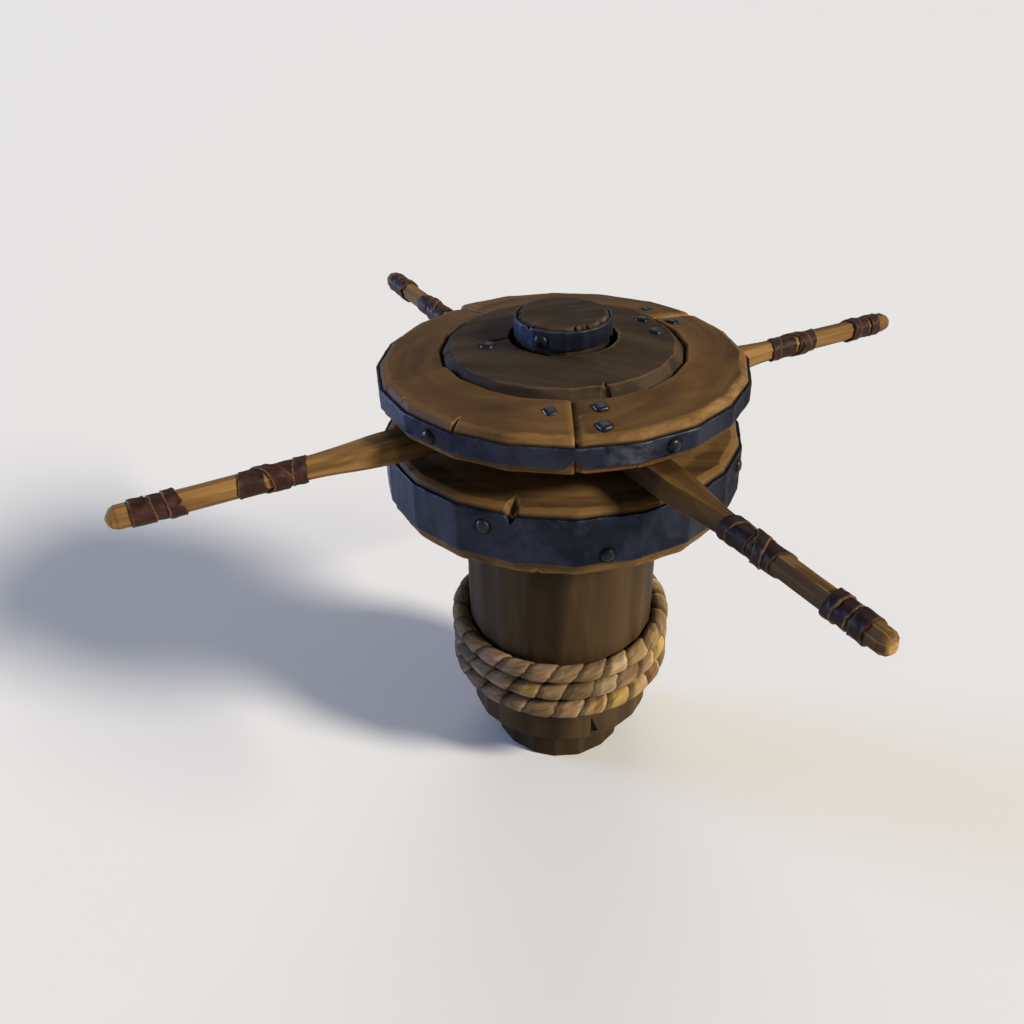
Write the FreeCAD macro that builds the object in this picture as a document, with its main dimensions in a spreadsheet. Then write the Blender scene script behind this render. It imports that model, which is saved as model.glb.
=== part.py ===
import FreeCAD, Part
import math
import os

from FreeCAD import Vector, Rotation, Placement
import Sketcher

# Deck capstan. Millimetres, +Z up, origin on the turning axis at the underside
# of the foot. The four bars lie along +X, +Y, -X and -Y.

os.makedirs("parts", exist_ok=True)
doc = FreeCAD.newDocument("capstan")
sheet = doc.addObject("Spreadsheet::Sheet", "Sheet")

# Driving dimensions: radii are from the turning axis, levels are above the deck.
CELLS = [
    ("foot_radius", 188.0),
    ("foot_top", 135.0),
    ("foot_chamfer", 6.0),
    ("hold_down_pitch_radius", 162.0),
    ("hold_down_hole_radius", 11.0),
    ("bed_radius", 140.0),
    ("bed_top", 150.0),
    ("bed_bolt_pitch_radius", 112.0),
    ("bed_bolt_radius", 8.0),
    ("bed_bolt_depth", 90.0),
    ("tail_radius", 50.0),
    ("tail_bottom", 6.0),
    ("spindle_radius", 45.0),
    ("collar_radius", 85.0),
    ("collar_top", 168.0),
    ("washer_top", 178.0),
    ("journal_top", 1212.0),
    ("square_head_side", 60.0),
    ("square_head_top", 1300.0),
    ("running_gap", 0.05),
    ("bush_radius", 60.0),
    ("bush_flange_radius", 82.0),
    ("recess_radius", 150.0),
    ("recess_top", 190.0),
    ("lower_bush_top", 320.0),
    ("upper_bush_bottom", 1040.0),
    ("barrel_bottom", 139.0),
    ("barrel_bottom_radius", 262.0),
    ("barrel_top", 850.0),
    ("barrel_top_radius", 267.0),
    ("lower_disc_radius", 460.0),
    ("lower_lip_radius", 456.0),
    ("lower_band_bottom", 887.3),
    ("lower_band_top", 1011.9),
    ("lower_band_radius", 467.7),
    ("lower_disc_top", 1030.0),
    ("hub_radius", 285.0),
    ("hub_top", 1128.0),
    ("bar_level", 1080.0),
    ("socket_width", 92.0),
    ("socket_height", 62.0),
    ("socket_root", 125.0),
    ("plate_radius", 400.0),
    ("plate_top", 1160.0),
    ("tie_pitch_radius", 215.0),
    ("tie_radius", 11.0),
    ("tie_bottom", 700.0),
    ("ring_inner_radius", 310.0),
    ("ring_inner_top", 1240.0),
    ("ring_edge_radius", 456.0),
    ("ring_edge_top", 1217.0),
    ("ring_side_radius", 464.5),
    ("ring_lip_radius", 463.0),
    ("upper_band_bottom", 1147.4),
    ("upper_band_top", 1196.8),
    ("upper_band_radius", 472.2),
    ("seam_gap_angle", 0.5),
    ("inner_radius", 304.0),
    ("inner_edge_radius", 292.0),
    ("inner_edge_top", 1252.0),
    ("inner_hole_radius", 136.0),
    ("inner_hole_top", 1271.0),
    ("cap_radius", 117.0),
    ("cap_bottom", 1216.0),
    ("cap_top", 1330.0),
    ("hoop_radius", 123.0),
    ("hoop_bottom", 1277.0),
    ("hoop_top", 1324.0),
    ("bar_root", 135.0),
    ("bar_half_width", 45.0),
    ("bar_half_height", 30.0),
    ("bar_chamfer", 12.0),
    ("bar_taper_start", 480.0),
    ("bar_taper_end", 690.0),
    ("bar_radius", 27.0),
    ("bar_tip", 1150.0),
    ("wrap_radius", 31.0),
    ("inner_wrap_start", 694.0),
    ("inner_wrap_end", 856.0),
    ("outer_wrap_start", 982.0),
    ("outer_wrap_end", 1100.0),
    ("rope_radius", 25.5),
    ("rope_route_radius", 292.9),
]
VAL = {}
for row, (alias, number) in enumerate(CELLS, start=1):
    sheet.set("A%d" % row, alias)
    sheet.set("B%d" % row, repr(number))
    sheet.setAlias("B%d" % row, alias)
    VAL[alias] = number
doc.recompute()


class Dim:
    """A length with its spreadsheet expression and its present value."""

    def __init__(self, text, value):
        self.text = text
        self.value = value

    def _join(self, other, sign):
        if not isinstance(other, Dim):
            other = Dim(repr(float(other)), float(other))
        value = self.value + other.value if sign == "+" else self.value - other.value
        return Dim("%s %s (%s)" % (self.text, sign, other.text), value)

    def __add__(self, other):
        return self._join(other, "+")

    def __sub__(self, other):
        return self._join(other, "-")

    def __mul__(self, k):
        return Dim("(%s) * %r" % (self.text, float(k)), self.value * k)

    def __neg__(self):
        return Dim("-(%s)" % self.text, -self.value)


def d(alias):
    return Dim("Sheet." + alias, VAL[alias])


ZERO = Dim("0", 0.0)


def plane_of(body, role):
    for feature in body.Origin.OriginFeatures:
        if feature.Role == role:
            return feature
    raise ValueError(role)


def outline(body, name, role, points, offset=None):
    """Closed polygon sketch, every corner held to the sheet in both directions."""
    sk = body.newObject("Sketcher::SketchObject", name)
    sk.AttachmentSupport = [(plane_of(body, role), "")]
    sk.MapMode = "FlatFace"
    if offset is not None:
        sk.AttachmentOffset = Placement(Vector(0, 0, offset.value), Rotation())
        sk.setExpression(".AttachmentOffset.Base.z", offset.text)
    n = len(points)
    for i in range(n):
        p, q = points[i], points[(i + 1) % n]
        sk.addGeometry(
            Part.LineSegment(
                Vector(p[0].value, p[1].value, 0), Vector(q[0].value, q[1].value, 0)
            ),
            False,
        )
    for i in range(n):
        sk.addConstraint(Sketcher.Constraint("Coincident", i, 2, (i + 1) % n, 1))
    for i, p in enumerate(points):
        for kind, axis, dim in (("DistanceX", -2, p[0]), ("DistanceY", -1, p[1])):
            if abs(dim.value) < 1e-9:
                sk.addConstraint(Sketcher.Constraint("PointOnObject", i, 1, axis))
            elif dim.value > 0:
                k = sk.addConstraint(Sketcher.Constraint(kind, -1, 1, i, 1, dim.value))
                sk.setExpression("Constraints[%d]" % k, dim.text)
            else:
                k = sk.addConstraint(Sketcher.Constraint(kind, i, 1, -1, 1, -dim.value))
                sk.setExpression("Constraints[%d]" % k, (-dim).text)
    return sk


def circle_sketch(body, name, role, cx, radius, offset=None):
    sk = body.newObject("Sketcher::SketchObject", name)
    sk.AttachmentSupport = [(plane_of(body, role), "")]
    sk.MapMode = "FlatFace"
    if offset is not None:
        sk.AttachmentOffset = Placement(Vector(0, 0, offset.value), Rotation())
        sk.setExpression(".AttachmentOffset.Base.z", offset.text)
    sk.addGeometry(Part.Circle(Vector(cx.value, 0, 0), Vector(0, 0, 1), radius.value), False)
    sk.addConstraint(Sketcher.Constraint("PointOnObject", 0, 3, -1))
    k = sk.addConstraint(Sketcher.Constraint("DistanceX", -1, 1, 0, 3, cx.value))
    sk.setExpression("Constraints[%d]" % k, cx.text)
    k = sk.addConstraint(Sketcher.Constraint("Radius", 0, radius.value))
    sk.setExpression("Constraints[%d]" % k, radius.text)
    return sk


def turned(name, points, angle=None, start=None):
    """A turned piece: its half section in the XZ plane, revolved about Z."""
    body = doc.addObject("PartDesign::Body", name)
    sk = outline(body, name + "_section", "XZ_Plane", points)
    rev = body.newObject("PartDesign::Revolution", name + "_turn")
    rev.Profile = sk
    rev.ReferenceAxis = (sk, ["V_Axis"])
    rev.Angle = 360.0 if angle is None else angle.value
    if angle is not None:
        rev.setExpression("Angle", angle.text)
    body.Tip = rev
    if start is not None:
        body.Placement = Placement(Vector(), Rotation(Vector(0, 0, 1), start))
    return body


def bored(body, name, pitch, radius, count, start=0.0):
    """Round holes right through along Z, on a pitch circle."""
    sk = circle_sketch(body, name + "_sketch", "XY_Plane", pitch, radius)
    if start:
        sk.AttachmentOffset = Placement(Vector(), Rotation(Vector(0, 0, 1), start))
    pocket = body.newObject("PartDesign::Pocket", name + "_pocket")
    pocket.Profile = sk
    pocket.Type = "ThroughAll"
    pocket.Midplane = True
    body.Tip = pocket
    doc.recompute()
    pattern = body.newObject("PartDesign::PolarPattern", name + "_ring")
    pattern.Originals = [pocket]
    pattern.Axis = (plane_of_axis(body), [""])
    pattern.Angle = 360.0
    pattern.Occurrences = count
    body.Tip = pattern
    return pattern


def plane_of_axis(body):
    for feature in body.Origin.OriginFeatures:
        if feature.Role == "Z_Axis":
            return feature
    raise ValueError("Z_Axis")


def cylinder(name, radius, height, x, y, z, axis=None):
    c = doc.addObject("Part::Cylinder", name)
    c.Radius = radius.value
    c.setExpression("Radius", radius.text)
    c.Height = height.value
    c.setExpression("Height", height.text)
    rot = Rotation() if axis is None else Rotation(Vector(0, 0, 1), axis)
    c.Placement = Placement(Vector(x, y, z), rot)
    return c


def polar(radius, azimuth):
    a = math.radians(azimuth)
    return Vector(radius * math.cos(a), radius * math.sin(a), 0)


def group(name, shapes):
    """Several equal fasteners as one piece list entry of separate solids."""
    feature = doc.addObject("Part::Feature", name)
    feature.Shape = Part.makeCompound(shapes)
    return feature


def cut(name, base, *tools):
    result = base
    for i, tool in enumerate(tools):
        c = doc.addObject("Part::Cut", name + "_cut%d" % i)
        c.Base = result
        c.Tool = tool
        result = c
    return result


NODES = {}


def node(name, obj):
    obj.Label = name
    NODES[name] = obj


# --- fixed part -----------------------------------------------------------
# The foot: a turned oak block standing on the deck, with six holes for the
# deck's hold-down bolts and a bore for the tail of the spindle.
foot = turned(
    "FootBlock",
    [
        (d("tail_radius"), ZERO),
        (d("foot_radius") - d("foot_chamfer"), ZERO),
        (d("foot_radius"), d("foot_chamfer")),
        (d("foot_radius"), d("foot_top") - d("foot_chamfer")),
        (d("foot_radius") - d("foot_chamfer"), d("foot_top")),
        (d("tail_radius"), d("foot_top")),
    ],
)
doc.recompute()
bored(foot, "hold_down", d("hold_down_pitch_radius"), d("hold_down_hole_radius"), 6)
doc.recompute()


def hex_prism(radius, z0, z1, x, y):
    pts = [
        Vector(x + radius * math.cos(math.radians(60 * i)), y + radius * math.sin(math.radians(60 * i)), z0)
        for i in range(7)
    ]
    return Part.Face(Part.makePolygon(pts)).extrude(Vector(0, 0, z1 - z0))


bolts = []
for i in range(6):
    p = polar(VAL["bed_bolt_pitch_radius"], 30 + 60 * i)
    shank = Part.makeCylinder(
        VAL["bed_bolt_radius"], VAL["bed_bolt_depth"] + VAL["bed_top"] - VAL["foot_top"],
        Vector(p.x, p.y, VAL["foot_top"] - VAL["bed_bolt_depth"]),
    )
    head = hex_prism(14.0, VAL["bed_top"], VAL["bed_top"] + 10.0, p.x, p.y)
    bolts.append(shank.fuse(head).removeSplitter())
bed_bolts = group("BedBolts", bolts)
node("bed_bolts", bed_bolts)
node("foot_block", cut("Foot", foot, bed_bolts))

bed = turned(
    "BedPlate",
    [
        (d("tail_radius"), d("foot_top")),
        (d("bed_radius"), d("foot_top")),
        (d("bed_radius"), d("bed_top") - 3),
        (d("bed_radius") - 3, d("bed_top")),
        (d("tail_radius"), d("bed_top")),
    ],
)
node("bed_plate", cut("Bed", bed, bed_bolts))

# Spindle: tail in the foot, collar on the bed plate, plain journal up to the
# drumhead and a square head for the cap block.
spindle_body = turned(
    "SpindleShaft",
    [
        (ZERO, d("tail_bottom")),
        (d("tail_radius") - 4, d("tail_bottom")),
        (d("tail_radius"), d("tail_bottom") + 4),
        (d("tail_radius"), d("bed_top")),
        (d("collar_radius"), d("bed_top")),
        (d("collar_radius"), d("collar_top")),
        (d("spindle_radius"), d("collar_top")),
        (d("spindle_radius"), d("journal_top")),
        (ZERO, d("journal_top")),
    ],
)
square = doc.addObject("Part::Box", "SpindleSquare")
for prop in ("Length", "Width"):
    setattr(square, prop, VAL["square_head_side"])
    square.setExpression(prop, "Sheet.square_head_side")
square.Height = VAL["square_head_top"] - VAL["journal_top"] + 10
square.setExpression("Height", "Sheet.square_head_top - Sheet.journal_top + 10")
square.Placement = Placement(
    Vector(-VAL["square_head_side"] / 2, -VAL["square_head_side"] / 2, VAL["journal_top"] - 10), Rotation()
)
square.setExpression(".Placement.Base.x", "-Sheet.square_head_side / 2")
square.setExpression(".Placement.Base.y", "-Sheet.square_head_side / 2")
square.setExpression(".Placement.Base.z", "Sheet.journal_top - 10")
fused = doc.addObject("Part::Fuse", "SpindleFuse")
fused.Base = spindle_body
fused.Tool = square

pin_level = 1202.0
linchpin = Part.makeCylinder(8.0, 136.0, Vector(-68.0, 0, pin_level), Vector(1, 0, 0))
pin_head = Part.makeCylinder(11.0, 8.0, Vector(-76.0, 0, pin_level), Vector(1, 0, 0))
pin = doc.addObject("Part::Feature", "Linchpin")
pin.Shape = linchpin.fuse(pin_head).removeSplitter()
node("linchpin", pin)
node("spindle", cut("Spindle", fused, pin))

node(
    "thrust_washer",
    turned(
        "ThrustWasher",
        [
            (d("spindle_radius") + 1, d("collar_top")),
            (d("collar_radius") - 3, d("collar_top")),
            (d("collar_radius") - 3, d("washer_top")),
            (d("spindle_radius") + 1, d("washer_top")),
        ],
    ),
)
node(
    "retaining_collar",
    turned(
        "RetainingCollar",
        [
            (d("spindle_radius"), d("plate_top") + 6),
            (d("spindle_radius") + 30, d("plate_top") + 6),
            (d("spindle_radius") + 30, d("plate_top") + 24),
            (d("spindle_radius") + 26, d("plate_top") + 28),
            (d("spindle_radius"), d("plate_top") + 28),
        ],
    ),
)

# Cap block: wooden head on the square end, with its iron hoop.
cap_body = turned(
    "CapTurned",
    [
        (ZERO, d("cap_bottom")),
        (d("cap_radius") - 4, d("cap_bottom")),
        (d("cap_radius"), d("cap_bottom") + 4),
        (d("cap_radius"), d("hoop_top")),
        (d("cap_radius") - 6, d("cap_top")),
        (ZERO, d("cap_top")),
    ],
)
cap_rivets = []
for az in (-147.0, -8.0, 102.0):
    u = polar(1.0, az)
    level = 1297.0
    r = VAL["hoop_radius"]
    head = Part.makeSphere(17.0, Vector(u.x * (r - 10.5), u.y * (r - 10.5), level))
    keep = Part.makeCylinder(16.0, 30.0, Vector(u.x * (r - 0.6), u.y * (r - 0.6), level), u)
    shank = Part.makeCylinder(6.0, 40.0, Vector(u.x * (r - 39.5), u.y * (r - 39.5), level), u)
    body_cyl = Part.makeCylinder(VAL["hoop_radius"], 200.0, Vector(0, 0, 1200.0))
    cap_rivets.append(head.common(keep).cut(body_cyl).fuse(shank).removeSplitter())
cap_rivet_group = group("CapRivets", cap_rivets)
node("cap_rivets", cap_rivet_group)
node("cap_block", cut("Cap", cap_body, square, cap_rivet_group))
hoop = turned(
    "CapHoopTurned",
    [
        (d("cap_radius"), d("hoop_bottom")),
        (d("hoop_radius") - 1.5, d("hoop_bottom")),
        (d("hoop_radius"), d("hoop_bottom") + 1.5),
        (d("hoop_radius"), d("hoop_top") - 1.5),
        (d("hoop_radius") - 1.5, d("hoop_top")),
        (d("cap_radius"), d("hoop_top")),
    ],
)
node("cap_hoop", cut("CapHoop", hoop, cap_rivet_group))

# --- turning part ---------------------------------------------------------
# Tie bolts: heads on the drumhead base, shanks down through the hub and the
# lower disc into the barrel.
ties = []
for i in range(4):
    p = polar(VAL["tie_pitch_radius"], 45 + 90 * i)
    shank = Part.makeCylinder(
        VAL["tie_radius"], VAL["plate_top"] - VAL["tie_bottom"], Vector(p.x, p.y, VAL["tie_bottom"])
    )
    head = hex_prism(20.0, VAL["plate_top"], VAL["plate_top"] + 14.0, p.x, p.y)
    ties.append(shank.fuse(head).removeSplitter())
tie_group = group("TieBolts", ties)
node("tie_bolts", tie_group)

# Rope: three turns round the barrel. Each turn lies almost level where it
# crosses the front and drops to the next one behind; both ends pass into
# holes bored in the back of the barrel.
FRONT = -121.0
ROPE_LEVELS = (428.0, 367.0, 303.0)


def rope_level(turn):
    """Height of the route at a number of turns counted from the back."""
    k = min(2, int(turn))
    part = turn - k
    tilt = -0.06 * VAL["rope_route_radius"] * math.cos(2 * math.pi * (part - 0.5))
    level = ROPE_LEVELS[k]
    if part > 0.78 and k < 2:
        s = (part - 0.78) / 0.44
        level += (ROPE_LEVELS[k + 1] - level) * s
    if part < 0.22 and k > 0:
        s = (part + 0.22) / 0.44
        level = ROPE_LEVELS[k - 1] + (ROPE_LEVELS[k] - ROPE_LEVELS[k - 1]) * s
    return level + tilt


PER_TURN = 24
route = []
back = FRONT + 180.0


def rope_point(radius, turn, level):
    v = polar(radius, back - 360.0 * turn)
    return Vector(v.x, v.y, level)


top = rope_level(0.0)
route.append(rope_point(196.0, -0.105, top + 2))
route.append(rope_point(243.0, -0.082, top + 2))
route.append(rope_point(279.0, -0.044, top + 1))
for i in range(3 * PER_TURN + 1):
    turn = i / PER_TURN
    route.append(rope_point(VAL["rope_route_radius"], turn, rope_level(min(turn, 2.9999))))
low = rope_level(2.9999)
route.append(rope_point(279.0, 3.044, low - 1))
route.append(rope_point(243.0, 3.082, low - 2))
route.append(rope_point(196.0, 3.105, low - 2))


def tube(points, radius):
    """Round tube along straight runs joined by tangent arcs."""
    runs = [points[i + 1] - points[i] for i in range(len(points) - 1)]
    edges = []
    radii = []
    here = points[0]
    for i in range(1, len(points) - 1):
        a, b = runs[i - 1], runs[i]
        half = a.getAngle(b) / 2
        short = min(a.Length, b.Length)
        cutback = 0.45 * short
        r = cutback / math.tan(half)
        radii.append(r)
        ua, ub = Vector(a).normalize(), Vector(b).normalize()
        p = points[i] - ua * cutback
        q = points[i] + ub * cutback
        inward = (ub - ua).normalize()
        middle = points[i] + inward * (r / math.cos(half) - r)
        edges.append(Part.LineSegment(here, p).toShape())
        edges.append(Part.Arc(p, middle, q).toShape())
        here = q
    edges.append(Part.LineSegment(here, points[-1]).toShape())
    wire = Part.Wire(edges)
    start = Part.Wire([Part.makeCircle(radius, points[0], runs[0])])
    solid = wire.makePipeShell([start], True, False)
    return solid, wire.Length, radii


rope_shape, rope_length, rope_radii = tube(route, VAL["rope_radius"])
rope = doc.addObject("Part::Feature", "Rope")
rope.Shape = rope_shape
node("rope", rope)
print("rope length %.0f mm, volume / (section x length) %.4f" % (
    rope_length, rope_shape.Volume / (math.pi * VAL["rope_radius"] ** 2 * rope_length)))
print("rope radii", " ".join("%.0f" % r for r in rope_radii))

# Barrel: slightly fuller at the top, recessed underneath for the bed plate,
# bored for the bushes, with two slanting holes for the rope's ends.
barrel_body = turned(
    "BarrelTurned",
    [
        (d("recess_radius"), d("barrel_bottom")),
        (d("barrel_bottom_radius") - 6, d("barrel_bottom")),
        (d("barrel_bottom_radius"), d("barrel_bottom") + 6),
        (d("barrel_top_radius"), d("barrel_top")),
        (d("bush_radius"), d("barrel_top")),
        (d("bush_radius"), d("recess_top")),
        (d("recess_radius"), d("recess_top")),
    ],
)
holes = []
for first, second in ((route[0], route[1]), (route[-1], route[-2])):
    run = second - first
    u = Vector(run).normalize()
    holes.append(Part.makeCylinder(VAL["rope_radius"] + 1.0, run.Length + 70.0, first - u * 6.0, u))
hole_group = group("RopeHoles", holes)
node("barrel", cut("Barrel", barrel_body, tie_group, hole_group))

bush_bore = d("spindle_radius") + d("running_gap")
node(
    "lower_bush",
    turned(
        "LowerBush",
        [
            (bush_bore, d("washer_top") + 0.3),
            (d("bush_flange_radius"), d("washer_top") + 0.3),
            (d("bush_flange_radius"), d("recess_top")),
            (d("bush_radius"), d("recess_top")),
            (d("bush_radius"), d("lower_bush_top")),
            (bush_bore, d("lower_bush_top")),
        ],
    ),
)
node(
    "upper_bush",
    turned(
        "UpperBush",
        [
            (bush_bore, d("upper_bush_bottom")),
            (d("bush_radius"), d("upper_bush_bottom")),
            (d("bush_radius"), d("plate_top")),
            (d("bush_flange_radius"), d("plate_top")),
            (d("bush_flange_radius"), d("plate_top") + 5.5),
            (bush_bore, d("plate_top") + 5.5),
        ],
    ),
)

# Rivets of the bands: domed heads outside, shanks into the wood.


def rivet(radius, azimuth, level, head=17.0, rise=8.5, shank=6.0, depth=46.0):
    u = polar(1.0, azimuth)
    ball = (head * head + rise * rise) / (2 * rise)
    centre = u * (radius + rise - ball) + Vector(0, 0, level)
    dome = Part.makeSphere(ball, centre)
    block = Part.makeCylinder(head + 5, rise + 8, u * (radius - 0.45) + Vector(0, 0, level), u)
    drum = Part.makeCylinder(radius, 400.0, Vector(0, 0, level - 200.0))
    dome = dome.common(block).cut(drum)
    stem = Part.makeCylinder(shank, depth, u * (radius - depth + 1.0) + Vector(0, 0, level), u)
    return dome.fuse(stem).removeSplitter()


LOWER_RIVETS = (
    (-143.9, 971.0), (-107.4, 911.0), (-47.6, 973.0), (-2.0, 911.0), (35.0, 972.0),
    (71.0, 911.0), (107.0, 971.0), (142.0, 911.0),
)
UPPER_RIVETS = ((-161.5, 1165.0), (-88.9, 1170.0), (-17.0, 1168.0), (55.0, 1171.0), (127.0, 1169.0))
low_rivets = group("LowerRivets", [rivet(VAL["lower_band_radius"], a, z) for a, z in LOWER_RIVETS])
node("lower_band_rivets", low_rivets)
up_rivets = group("UpperRivets", [rivet(VAL["upper_band_radius"], a, z) for a, z in UPPER_RIVETS])
node("upper_band_rivets", up_rivets)

lower_body = turned(
    "LowerDiscTurned",
    [
        (d("bush_radius"), d("barrel_top")),
        (d("lower_lip_radius") - 8, d("barrel_top")),
        (d("lower_lip_radius"), d("barrel_top") + 9),
        (d("lower_lip_radius"), d("lower_band_bottom")),
        (d("lower_disc_radius"), d("lower_band_bottom")),
        (d("lower_disc_radius"), d("lower_band_top")),
        (d("lower_disc_radius") - 6, d("lower_disc_top") - 9),
        (d("lower_disc_radius") - 21, d("lower_disc_top")),
        (d("bush_radius"), d("lower_disc_top")),
    ],
)
node("lower_disc", cut("LowerDisc", lower_body, tie_group, low_rivets))
lower_band = turned(
    "LowerBandTurned",
    [
        (d("lower_disc_radius"), d("lower_band_bottom")),
        (d("lower_band_radius") - 2, d("lower_band_bottom")),
        (d("lower_band_radius"), d("lower_band_bottom") + 2),
        (d("lower_band_radius"), d("lower_band_top") - 2),
        (d("lower_band_radius") - 2, d("lower_band_top")),
        (d("lower_disc_radius"), d("lower_band_top")),
    ],
)
node("lower_band", cut("LowerBand", lower_band, low_rivets))

# Socket hub: wooden block between the discs with four bar sockets.
hub = turned(
    "HubTurned",
    [
        (d("bush_radius"), d("lower_disc_top")),
        (d("hub_radius"), d("lower_disc_top")),
        (d("hub_radius"), d("hub_top")),
        (d("bush_radius"), d("hub_top")),
    ],
)
sockets = []
for i in range(4):
    box = doc.addObject("Part::Box", "Socket%d" % i)
    box.Length = VAL["hub_radius"]
    box.setExpression("Length", "Sheet.hub_radius")
    box.Width = VAL["socket_width"]
    box.setExpression("Width", "Sheet.socket_width")
    box.Height = VAL["socket_height"]
    box.setExpression("Height", "Sheet.socket_height")
    turn = Rotation(Vector(0, 0, 1), 90.0 * i)
    corner = turn.multVec(Vector(VAL["socket_root"], -VAL["socket_width"] / 2, 0))
    box.Placement = Placement(
        Vector(corner.x, corner.y, VAL["bar_level"] - VAL["socket_height"] / 2), turn
    )
    box.setExpression(".Placement.Base.z", "Sheet.bar_level - Sheet.socket_height / 2")
    sockets.append(box)
node("socket_hub", cut("SocketHub", hub, tie_group, *sockets))

node(
    "drumhead_base",
    cut(
        "DrumheadBase",
        turned(
            "DrumheadPlate",
            [
                (d("bush_radius"), d("hub_top")),
                (d("plate_radius"), d("hub_top")),
                (d("plate_radius"), d("plate_top")),
                (d("bush_radius"), d("plate_top")),
            ],
        ),
        tie_group,
    ),
)

# Drumhead nails: low pyramidal square heads, square-shanked in round holes.


def nail(radius, azimuth, level, tilt, twist, side=17.5, rise=8.5):
    base = Part.makeBox(2 * side, 2 * side, rise * 0.55, Vector(-side, -side, 0))
    cap = Part.makeLoft(
        [
            Part.makePolygon([Vector(sx * side, sy * side, rise * 0.55) for sx, sy in ((1, 1), (-1, 1), (-1, -1), (1, -1), (1, 1))]),
            Part.makePolygon([Vector(sx * side * 0.6, sy * side * 0.6, rise) for sx, sy in ((1, 1), (-1, 1), (-1, -1), (1, -1), (1, 1))]),
        ],
        True,
        True,
    )
    shank = Part.makeCylinder(5.0, 60.0 + 0.2, Vector(0, 0, -60.0))
    shape = base.fuse(cap).fuse(shank).removeSplitter()
    p = polar(radius, azimuth)
    lean = Rotation(Vector(0, 1, 0), tilt)
    turn = Rotation(Vector(0, 0, 1), azimuth)
    spin = Rotation(Vector(0, 0, 1), twist)
    shape.Placement = Placement(Vector(p.x, p.y, level), turn.multiply(lean).multiply(spin))
    return shape


RING_SLOPE = (VAL["ring_inner_top"] - VAL["ring_edge_top"]) / (VAL["ring_edge_radius"] - VAL["ring_inner_radius"])
INNER_SLOPE = (VAL["inner_hole_top"] - VAL["inner_edge_top"]) / (VAL["inner_edge_radius"] - VAL["inner_hole_radius"] - 4)


def ring_level(radius):
    return VAL["ring_edge_top"] + (VAL["ring_edge_radius"] - radius) * RING_SLOPE


def inner_level(radius):
    return VAL["inner_edge_top"] + (VAL["inner_edge_radius"] - radius) * INNER_SLOPE


RING_NAILS = ((361, -125.2, 31), (349, -106.5, 12), (420, -108.0, 20), (358, 19.0, 60), (341, 0.5, 25))
INNER_NAILS = ((194, 166.9, 40), (249, 1.8, 25), (242, -19.2, 50))
nails = [nail(r, a, ring_level(r), math.degrees(math.atan(RING_SLOPE)), t) for r, a, t in RING_NAILS]
nails += [nail(r, a, inner_level(r), math.degrees(math.atan(INNER_SLOPE)), t) for r, a, t in INNER_NAILS]
nail_group = group("DrumheadNails", nails)
node("drumhead_nails", nail_group)


def nail_hole(index):
    """The round hole of one nail, as a cutting tool."""
    hole = doc.addObject("Part::Cylinder", "NailHole%d" % index)
    hole.Radius = 5.0
    hole.Height = 62.0
    place = nails[index].Placement
    hole.Placement = Placement(place.multVec(Vector(0, 0, -60.0)), place.Rotation)
    return hole


HOLES = {
    "ring_front_left": (0,),
    "ring_right": (1, 2, 4),
    "ring_back_right": (3,),
    "ring_back_left": (),
    "inner_disc_front": (5, 7),
    "inner_disc_back": (6,),
}

# Outer ring of the drumhead in four segments, bound by the upper band.
ring_profile = [
    (d("ring_inner_radius"), d("plate_top")),
    (d("plate_radius"), d("plate_top")),
    (d("plate_radius"), d("hub_top")),
    (d("ring_lip_radius") - 8, d("hub_top")),
    (d("ring_lip_radius"), d("hub_top") + 8),
    (d("ring_lip_radius"), d("upper_band_bottom")),
    (d("ring_side_radius"), d("upper_band_bottom")),
    (d("ring_side_radius"), d("upper_band_top")),
    (d("ring_side_radius") - 2.5, d("upper_band_top") + 9),
    (d("ring_edge_radius"), d("ring_edge_top")),
    (d("ring_inner_radius"), d("ring_inner_top")),
]
SEAMS = (-117.4, 8.7, 98.9, 173.0)
RING_NAMES = ("ring_right", "ring_back_right", "ring_back_left", "ring_front_left")
for i, name in enumerate(RING_NAMES):
    a0 = SEAMS[i]
    a1 = SEAMS[(i + 1) % 4]
    span = (a1 - a0) % 360.0
    sweep = Dim("%r - Sheet.seam_gap_angle" % span, span - VAL["seam_gap_angle"])
    seg = turned("Ring%d" % i, ring_profile, sweep, a0 + VAL["seam_gap_angle"] / 2)
    doc.recompute()
    node(name, cut("Segment%d" % i, seg, up_rivets, *[nail_hole(k) for k in HOLES[name]]))

upper_band = turned(
    "UpperBandTurned",
    [
        (d("ring_side_radius"), d("upper_band_bottom")),
        (d("upper_band_radius") - 2, d("upper_band_bottom")),
        (d("upper_band_radius"), d("upper_band_bottom") + 2),
        (d("upper_band_radius"), d("upper_band_top") - 2),
        (d("upper_band_radius") - 2, d("upper_band_top")),
        (d("ring_side_radius"), d("upper_band_top")),
    ],
)
node("upper_band", cut("UpperBand", upper_band, up_rivets))

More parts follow.
